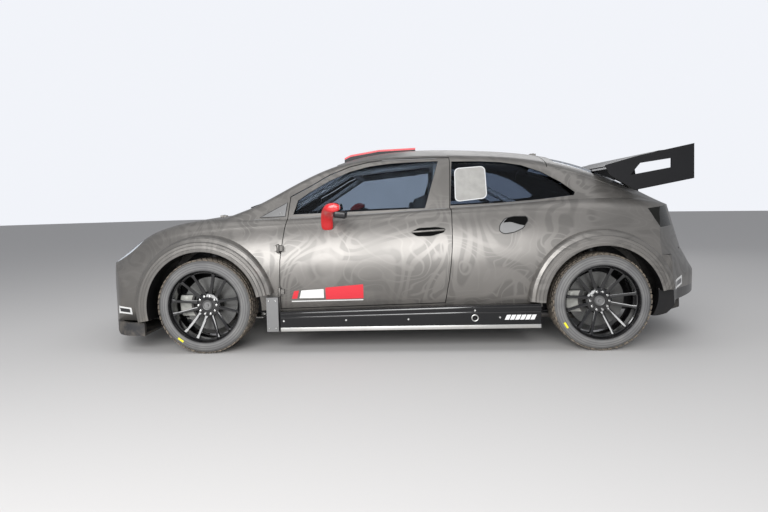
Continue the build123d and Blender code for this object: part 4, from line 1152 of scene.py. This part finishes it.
def trim_line(points, node_names, radius):
    """A round bead half sunk in the skin, through points of (x, z)."""
    path = []
    for x, z in walk(points, TRIM_STEPS) + [points[-1]]:
        hit, normal = on_skin(node_names, (x, 0, z))
        if abs(hit.y) > OFF_MIDDLE:
            path.append(hit + normal * radius * 0.35)
    for _ in range(3):
        inner = [(a + b * 2 + c) / 4 for a, b, c in zip(path, path[1:], path[2:])]
        path = [path[0]] + inner + [path[-1]]
    return tube(path, radius)


# %% Belt line and drip rail
belt_parts = [
    ("fender", "front_fender_left", [(-0.960, 0.862), (-0.900, 0.8635), (-0.790, 0.8675)], SHELL),
    ("door", "door_left", [(-0.722, 0.8705), (-0.319, 0.8810), (0.167, 0.9060), (0.352, 0.9180)], DOORS),
    ("quarter", "body_shell", [(0.380, 0.9190), (0.648, 0.9320), (0.920, 0.9500)], SHELL),
]
for name, node, points, bodies in belt_parts:
    make_pair(f"belt_line_{name}", trim_line(points, node, 0.0032), bodies, cast_metal, 60)
rail = trim_line([(-0.700, 1.0230), (-0.597, 1.0780), (-0.464, 1.1500), (-0.330, 1.2050),
                  (-0.196, 1.2330), (-0.060, 1.2440), (0.250, 1.2475)], ["door_left"], 0.0035)
make_pair("door_drip_rail", rail, DOORS, cast_metal, 60)
print("trim lines done")

# %% [markdown]
# Side glass sits in a black rubber band. The band is a patch of the glass's own outline with its middle
# taken out by an inset, laid on the glass a little proud.

# %% Helpers for a band round a pane
def inset(bm, amount):
    """Draw the faces of a flat bmesh in from its boundary."""
    bmesh.ops.inset_region(bm, faces=bm.faces[:], thickness=amount, use_even_offset=True,
                           use_boundary=True)


def band_round(node, outline, width, lift, thickness):
    """A flat band inside an outline, laid on a node's skin."""
    bm, _ = flat_face(outline)
    inset(bm, width)
    middle = max(bm.faces, key=lambda f: len(f.verts))
    bmesh.ops.delete(bm, geom=[middle], context="FACES_ONLY")
    for _ in range(4):
        stretched = [e for e in bm.edges if e.calc_length() > 0.03]
        if not stretched:
            break
        bmesh.ops.subdivide_edges(bm, edges=stretched, cuts=1)
        bmesh.ops.triangulate(bm, faces=[f for f in bm.faces if len(f.verts) > 4])
    return lay_on(bm, node, lift, thickness)


def shrunk(outline, amount):
    """An outline drawn in towards its middle."""
    bm, face = flat_face(outline, upright=False)
    inset(bm, amount)
    found = [(v.co.x, v.co.y) for v in face.verts]
    bm.free()
    return found


# %% Rubber round the side glass
DOOR_PANE = [(-0.700, 0.893), (-0.672, 0.985), (-0.597, 1.036), (-0.464, 1.112), (-0.330, 1.170),
             (-0.196, 1.204), (-0.060, 1.220), (0.076, 1.227), (0.262, 1.230), (0.169, 0.918)]
QUARTER_PANE = [(0.352, 1.226), (0.547, 1.223), (0.681, 1.214), (0.812, 1.192), (0.940, 1.145),
                (1.065, 1.073), (1.150, 1.005), (1.140, 0.985), (0.919, 0.962), (0.657, 0.944),
                (0.335, 0.932)]
for name, node, outline, width, bodies in (
        ("door_glass_seal", "door_glass_left", DOOR_PANE, 0.012, DOORS),
        ("quarter_glass_seal", "quarter_windows", QUARTER_PANE, 0.016, SHELL)):
    seal = band_round(node, shrunk(outline, 0.002), width, 0.0025, 0.003)
    make_pair(name, seal, bodies, rubber_seal, 40)
print("seals done")

# %% [markdown]
# The handle's recess and the intake behind the door are thin patches on the skin, not hollows; their
# dark colours are painted shade of the missing hollows. A bead runs round the intake, and a rounded bar
# stands over the recess.

# %% Door handle over its recess, and the intake behind the door
HANDLE_HOLE = [(0.072, 0.768), (0.125, 0.794), (0.239, 0.798), (0.298, 0.788), (0.288, 0.764),
               (0.205, 0.741), (0.112, 0.741)]
INTAKE_HOLE = [(0.637, 0.764), (0.640, 0.802), (0.675, 0.843), (0.731, 0.856), (0.815, 0.855),
               (0.822, 0.832), (0.788, 0.782), (0.732, 0.757), (0.669, 0.747)]
INTAKE_MOUTH = [(0.662, 0.818), (0.690, 0.845), (0.735, 0.854), (0.812, 0.853), (0.820, 0.832),
                (0.798, 0.798), (0.760, 0.806), (0.712, 0.822)]
# A flat black patch: painted shade of the handle's recess.
recess = draped("door_left", rounded_outline(HANDLE_HOLE, 0.016, 4), 0.0006)
make_pair("handle_recess", recess, DOORS, deep_shade, 40)
grip = box((0.0, 0.0, 0.0), (0.214, 0.015, 0.014), 0.0065, 4)
for vert in grip.verts:
    vert.co.y += 5.5 * vert.co.x ** 2 * 0.12
grip_place = above_skin("door_left", (0.186, 0, 0.771), 0.008)
grip = moved(grip, Matrix.Translation(grip_place) @ Matrix.Rotation(math.radians(-3), 4, "Y"))
make_pair("door_handle", grip, DOORS, wrap, 60)
edge_points = rounded_outline(INTAKE_HOLE, 0.014, 4)
# A grey patch: painted shade of the recessed intake's bowl.
shade = draped("body_shell", edge_points, 0.0004, 0.0008)
make_pair("intake_shade", shade, SHELL, cast_metal, 50)
edge_path = [above_skin("body_shell", (x, 0, z), 0.0006) for x, z in edge_points]
make_pair("intake_rim", tube(edge_path, 0.0028, True), SHELL, rubber_seal, 60)
# The black mouth at the upper rear is painted shadow inside the duct.
mouth = draped("body_shell", rounded_outline(INTAKE_MOUTH, 0.008, 3), 0.0016)
make_pair("intake_mouth", mouth, SHELL, deep_shade, 40)
print("handle and intake done")

# %% [markdown]
# The real car carries names and signs; here each place is a plain block of the same colour and size,
# with nothing written on it.

# %% Plain blocks where the car is signed
BLOCKS = [
    ("door_block_red", "door_left", red_vinyl, 0.0006, 0.003,
     [(-0.483, 0.342), (-0.238, 0.347), (-0.238, 0.440), (-0.483, 0.421)]),
    ("door_bar_white", "door_left", white_vinyl, 0.0006, 0.003,
     [(-0.655, 0.352), (-0.495, 0.352), (-0.495, 0.412), (-0.640, 0.404)]),
    ("door_bar_red", "door_left", red_vinyl, 0.0006, 0.003,
     [(-0.705, 0.348), (-0.670, 0.350), (-0.655, 0.404), (-0.688, 0.400)]),
    ("door_underline", "door_left", white_vinyl, 0.0006, 0.001,
     [(-0.707, 0.328), (-0.240, 0.334), (-0.240, 0.340), (-0.707, 0.335)]),
    ("front_plate_blank", "front_bumper", white_vinyl, 0.0006, 0.003,
     [(-1.876, 0.312), (-1.782, 0.299), (-1.786, 0.251), (-1.880, 0.261)]),
    ("front_plate_panel", "front_bumper", gloss_black, 0.0016, 0.003,
     [(-1.864, 0.300), (-1.795, 0.290), (-1.797, 0.264), (-1.866, 0.273)]),
    ("rear_plate_blank", "rear_bumper", white_vinyl, 0.0006, 0.003,
     [(1.748, 0.430), (1.842, 0.452), (1.844, 0.392), (1.750, 0.370)]),
    ("rear_plate_panel", "rear_bumper", gloss_black, 0.0016, 0.003,
     [(1.759, 0.417), (1.831, 0.434), (1.833, 0.405), (1.761, 0.388)]),
    ("quarter_panel_blank", "quarter_windows", cage_paint, 0.0010, 0.030,
     [(0.370, 1.180), (0.575, 1.192), (0.580, 0.976), (0.368, 0.955)]),
    ("quarter_panel_inner", "quarter_windows", paper, 0.0020, 0.027,
     [(0.375, 1.175), (0.5705, 1.1865), (0.5750, 0.981), (0.3735, 0.9605)]),
]
for name, node, material, lift, radius, outline in BLOCKS:
    cuts, longest = (5, 0.010) if node.endswith("bumper") else (3, 0.03)
    patch = draped(node, rounded_outline(outline, radius, 3), lift, 0.0010, cuts, longest)
    make_pair(name, patch, DOORS if node == "door_left" else SHELL, material, 40)
bars = [on_skirt([(x, 0.206), (x + 0.026, 0.207), (x + 0.040, 0.238), (x + 0.014, 0.237)], 0.0042, 0.0)
        for x in (0.660, 0.692, 0.724, 0.756, 0.788, 0.820)]
make_pair("skirt_bar_white", gather(bars), SHELL, white_vinyl, 40)
print("plain blocks done")

# %% Sail panel with its bolt
SAIL = [(-0.922, 0.876), (-0.752, 0.882), (-0.742, 0.972)]
SAIL_NODES = ["front_fender_left", "body_shell"]
sail = draped(SAIL_NODES, SAIL, 0.0008, 0.0015)
make_pair("sail_panel", sail, SHELL, cast_metal, 40)
seam = [above_skin(SAIL_NODES, (x, 0, z), 0.0012) for x, z in walk(SAIL + SAIL[:1], 8)]
make_pair("sail_seam", tube(seam, 0.0022, True), SHELL, rubber_seal, 60)
hit, normal = on_skin(SAIL_NODES, (-0.782, 0, 0.900))
make_pair("sail_bolt", bolt_head(hit, normal, 0.009, 0.005), SHELL, bright_steel, 40)
print("sail panel done")

# %% [markdown]
# The CAD hinges stand a little out of the door's front edge, so two round caps cover them. The
# photograph shows no hinge there: the caps are a guess.

# %% Caps over the door hinges
HINGE_CAP = [(-0.0290, 0.0), (-0.0285, 0.0050), (-0.0255, 0.0085), (-0.0200, 0.0105), (0.0200, 0.0105),
             (0.0255, 0.0085), (0.0285, 0.0050), (0.0290, 0.0)]
hinge_caps = [moved(turned(HINGE_CAP, steps=28), Matrix.Translation((-0.779, -0.868, z))
                    @ Matrix.Rotation(math.radians(90), 4, "X")) for z in (0.400, 0.680)]
make_pair("hinge_caps", gather(hinge_caps), DOORS, wrap, 50)
print("hinge caps done")

# %% Wipers at the foot of the screen, and bonnet pins
cowl = ["windscreen", "body_shell"]
wipers = []
for foot_y, tip_y in ((-0.42, 0.06), (0.14, 0.55)):
    arm = [above_skin(cowl, (-1.060 + 0.075 * share, foot_y + (tip_y - foot_y) * share, 0), 0.010, DOWNWARDS)
           for share in (0.0, 0.25, 0.5, 0.75, 1.0)]
    blade = [above_skin(cowl, (-1.035 + 0.060 * share, foot_y + 0.06 + (tip_y - foot_y - 0.06) * share, 0),
                        0.006, DOWNWARDS) for share in (0.0, 0.2, 0.4, 0.6, 0.8, 1.0)]
    wipers += [tube(arm, 0.0045), tube(blade, 0.0060)]
make_piece("wipers", gather(wipers), "chassis", rubber_seal, 60)
pins = [bolt_head(above_skin("bonnet", (-1.820, y, 0), -0.001, DOWNWARDS), (0, 0, 1), 0.020, 0.005)
        for y in (-0.34, 0.34)]
make_piece("bonnet_pins", gather(pins), "bonnet", bright_steel, 40)
print("wipers and pins done")

# %% [markdown]
# The bucket seats hold cloth pads: one to sit on, one along the back and one for the head. They are
# cushions.

# %% Seat pads
SEAT_FACE = [(-0.300, 0.372), (-0.090, 0.345)]
BACK_FACE = [(-0.015, 0.420), (0.110, 0.980)]


def pad(line, share, length, width, height):
    """A cushion lying on a seat's face, which the line gives in side view."""
    (x0, z0), (x1, z1) = line
    slope = math.atan2(z1 - z0, x1 - x0)
    lift = height / 2 + 0.001
    x, z = x0 + (x1 - x0) * share, z0 + (z1 - z0) * share
    centre = Vector((x - math.sin(slope) * lift, 0, z + math.cos(slope) * lift))
    body = box((0, 0, 0), (length, width, height), height * 0.42, 4)
    return moved(body, Matrix.Translation(centre) @ Matrix.Rotation(-slope, 4, "Y"))


for side, y in (("left", -0.380), ("right", 0.380)):
    for name, line, share, length, height in (("seat_cushion", SEAT_FACE, 0.48, 0.185, 0.042),
                                              ("back_cushion", BACK_FACE, 0.42, 0.380, 0.036),
                                              ("head_cushion", BACK_FACE, 0.86, 0.110, 0.036)):
        cushion = moved(pad(line, share, length, 0.340, height), Matrix.Translation((0, y, 0)))
        piece = make_piece(f"{name}_{side}", cushion, "chassis", cloth, 60)
print("seat pads done")

# %% Screen on the dashboard and shift lever
cabin = [box((-0.690, 0.0, 0.870), (0.030, 0.200, 0.075), 0.006, 3),
         box((-0.700, 0.0, 0.848), (0.050, 0.060, 0.020), 0.003, 2),
         rod((-0.470, -0.120, 0.300), (-0.440, -0.130, 0.700), 0.011, 16, 0.002),
         rod((-0.440, -0.130, 0.690), (-0.437, -0.131, 0.740), 0.020, 20, 0.006)]
make_piece("cabin_controls", gather(cabin), "chassis", matt_plastic, 40)
glow = box((-0.6735, 0.0, 0.870), (0.002, 0.182, 0.060), 0.0005, 1)
make_piece("cabin_screen", glow, "chassis", gloss_black, 40)
print("cabin done")

# %% [markdown]
# Camera and light. The camera stands where the photograph was taken: at eye height, four and a half
# metres out, turned and tipped by a few degrees. Large soft lamps above, in front and behind give satin film
# its long soft highlight; the world shows white to the camera and through glass only.

# %% Camera
CAMERA_PLACE = Vector((0.0688421, -4.5246948, 0.9582951))
CAMERA_TURN, CAMERA_TIP, CAMERA_ROLL = 0.0459628, 0.0917876, -0.0195758
FOCAL_PIXELS, PICTURE_WIDTH, SENSOR = 577.0, 768.0, 36.0
right = Vector((math.cos(CAMERA_TURN), math.sin(CAMERA_TURN), 0))
level = Vector((-math.sin(CAMERA_TURN), math.cos(CAMERA_TURN), 0))
ahead = level * math.cos(CAMERA_TIP) - Vector((0, 0, 1)) * math.sin(CAMERA_TIP)
above = level * math.sin(CAMERA_TIP) + Vector((0, 0, 1)) * math.cos(CAMERA_TIP)
across = right * math.cos(CAMERA_ROLL) + above * math.sin(CAMERA_ROLL)
upward = above * math.cos(CAMERA_ROLL) - right * math.sin(CAMERA_ROLL)
camera_data = bpy.data.cameras.new("camera")
camera_data.sensor_width = SENSOR
camera_data.lens = FOCAL_PIXELS / PICTURE_WIDTH * SENSOR
camera = bpy.data.objects.new("camera", camera_data)
camera_turn = Matrix((across, upward, -ahead)).transposed().to_4x4()
camera.matrix_world = Matrix.Translation(CAMERA_PLACE) @ camera_turn
bpy.context.scene.collection.objects.link(camera)
bpy.context.scene.camera = camera
print("camera lens", round(camera_data.lens, 2), "mm")

# %% Floor, world and lamps
bpy.context.scene.view_settings.view_transform = "Standard"
floor_mesh = bmesh.new()
bmesh.ops.create_circle(floor_mesh, cap_ends=True, segments=64, radius=40)
floor_data = bpy.data.meshes.new("floor")
floor_mesh.to_mesh(floor_data)
floor_mesh.free()
floor = bpy.data.objects.new("floor", floor_data)
floor.location = (0, 0, -0.0005)
bpy.context.scene.collection.objects.link(floor)
floor_data.materials.append(new_material("floor", (0.62, 0.61, 0.60), 0.7))

world = bpy.data.worlds.new("studio")
bpy.context.scene.world = world
world.use_nodes = True
tree = world.node_tree
sky = tree.nodes["Background"]
sky.inputs["Color"].default_value = (0.93, 0.95, 1.0, 1)
path = tree.nodes.new("ShaderNodeLightPath")
seen = math_node(tree, "MAXIMUM", path.outputs["Is Camera Ray"], path.outputs["Is Transmission Ray"])
tree.links.new(remap(tree, seen, 0.0, 1.0, 0.42, 0.95), sky.inputs["Strength"])


def lamp(name, place, target, size, power):
    """A soft rectangular lamp that faces a point."""
    data = bpy.data.lights.new(name, "AREA")
    data.shape = "RECTANGLE"
    data.size, data.size_y = size
    data.energy = power
    holder = bpy.data.objects.new(name, data)
    holder.location = place
    holder.rotation_euler = (Vector(target) - Vector(place)).to_track_quat("-Z", "Y").to_euler()
    bpy.context.scene.collection.objects.link(holder)


lamp("overhead", (0, -1.6, 5.0), (0, -0.3, 0.5), (7.0, 2.6), 60)
lamp("front_soft", (-1.1, -6.6, 2.7), (-0.2, 0, 0.6), (5.5, 3.1), 470)
lamp("rear_soft", (2.0, 5.5, 4.2), (0, 0, 0.7), (4.5, 2.5), 45)
print("lamps placed")
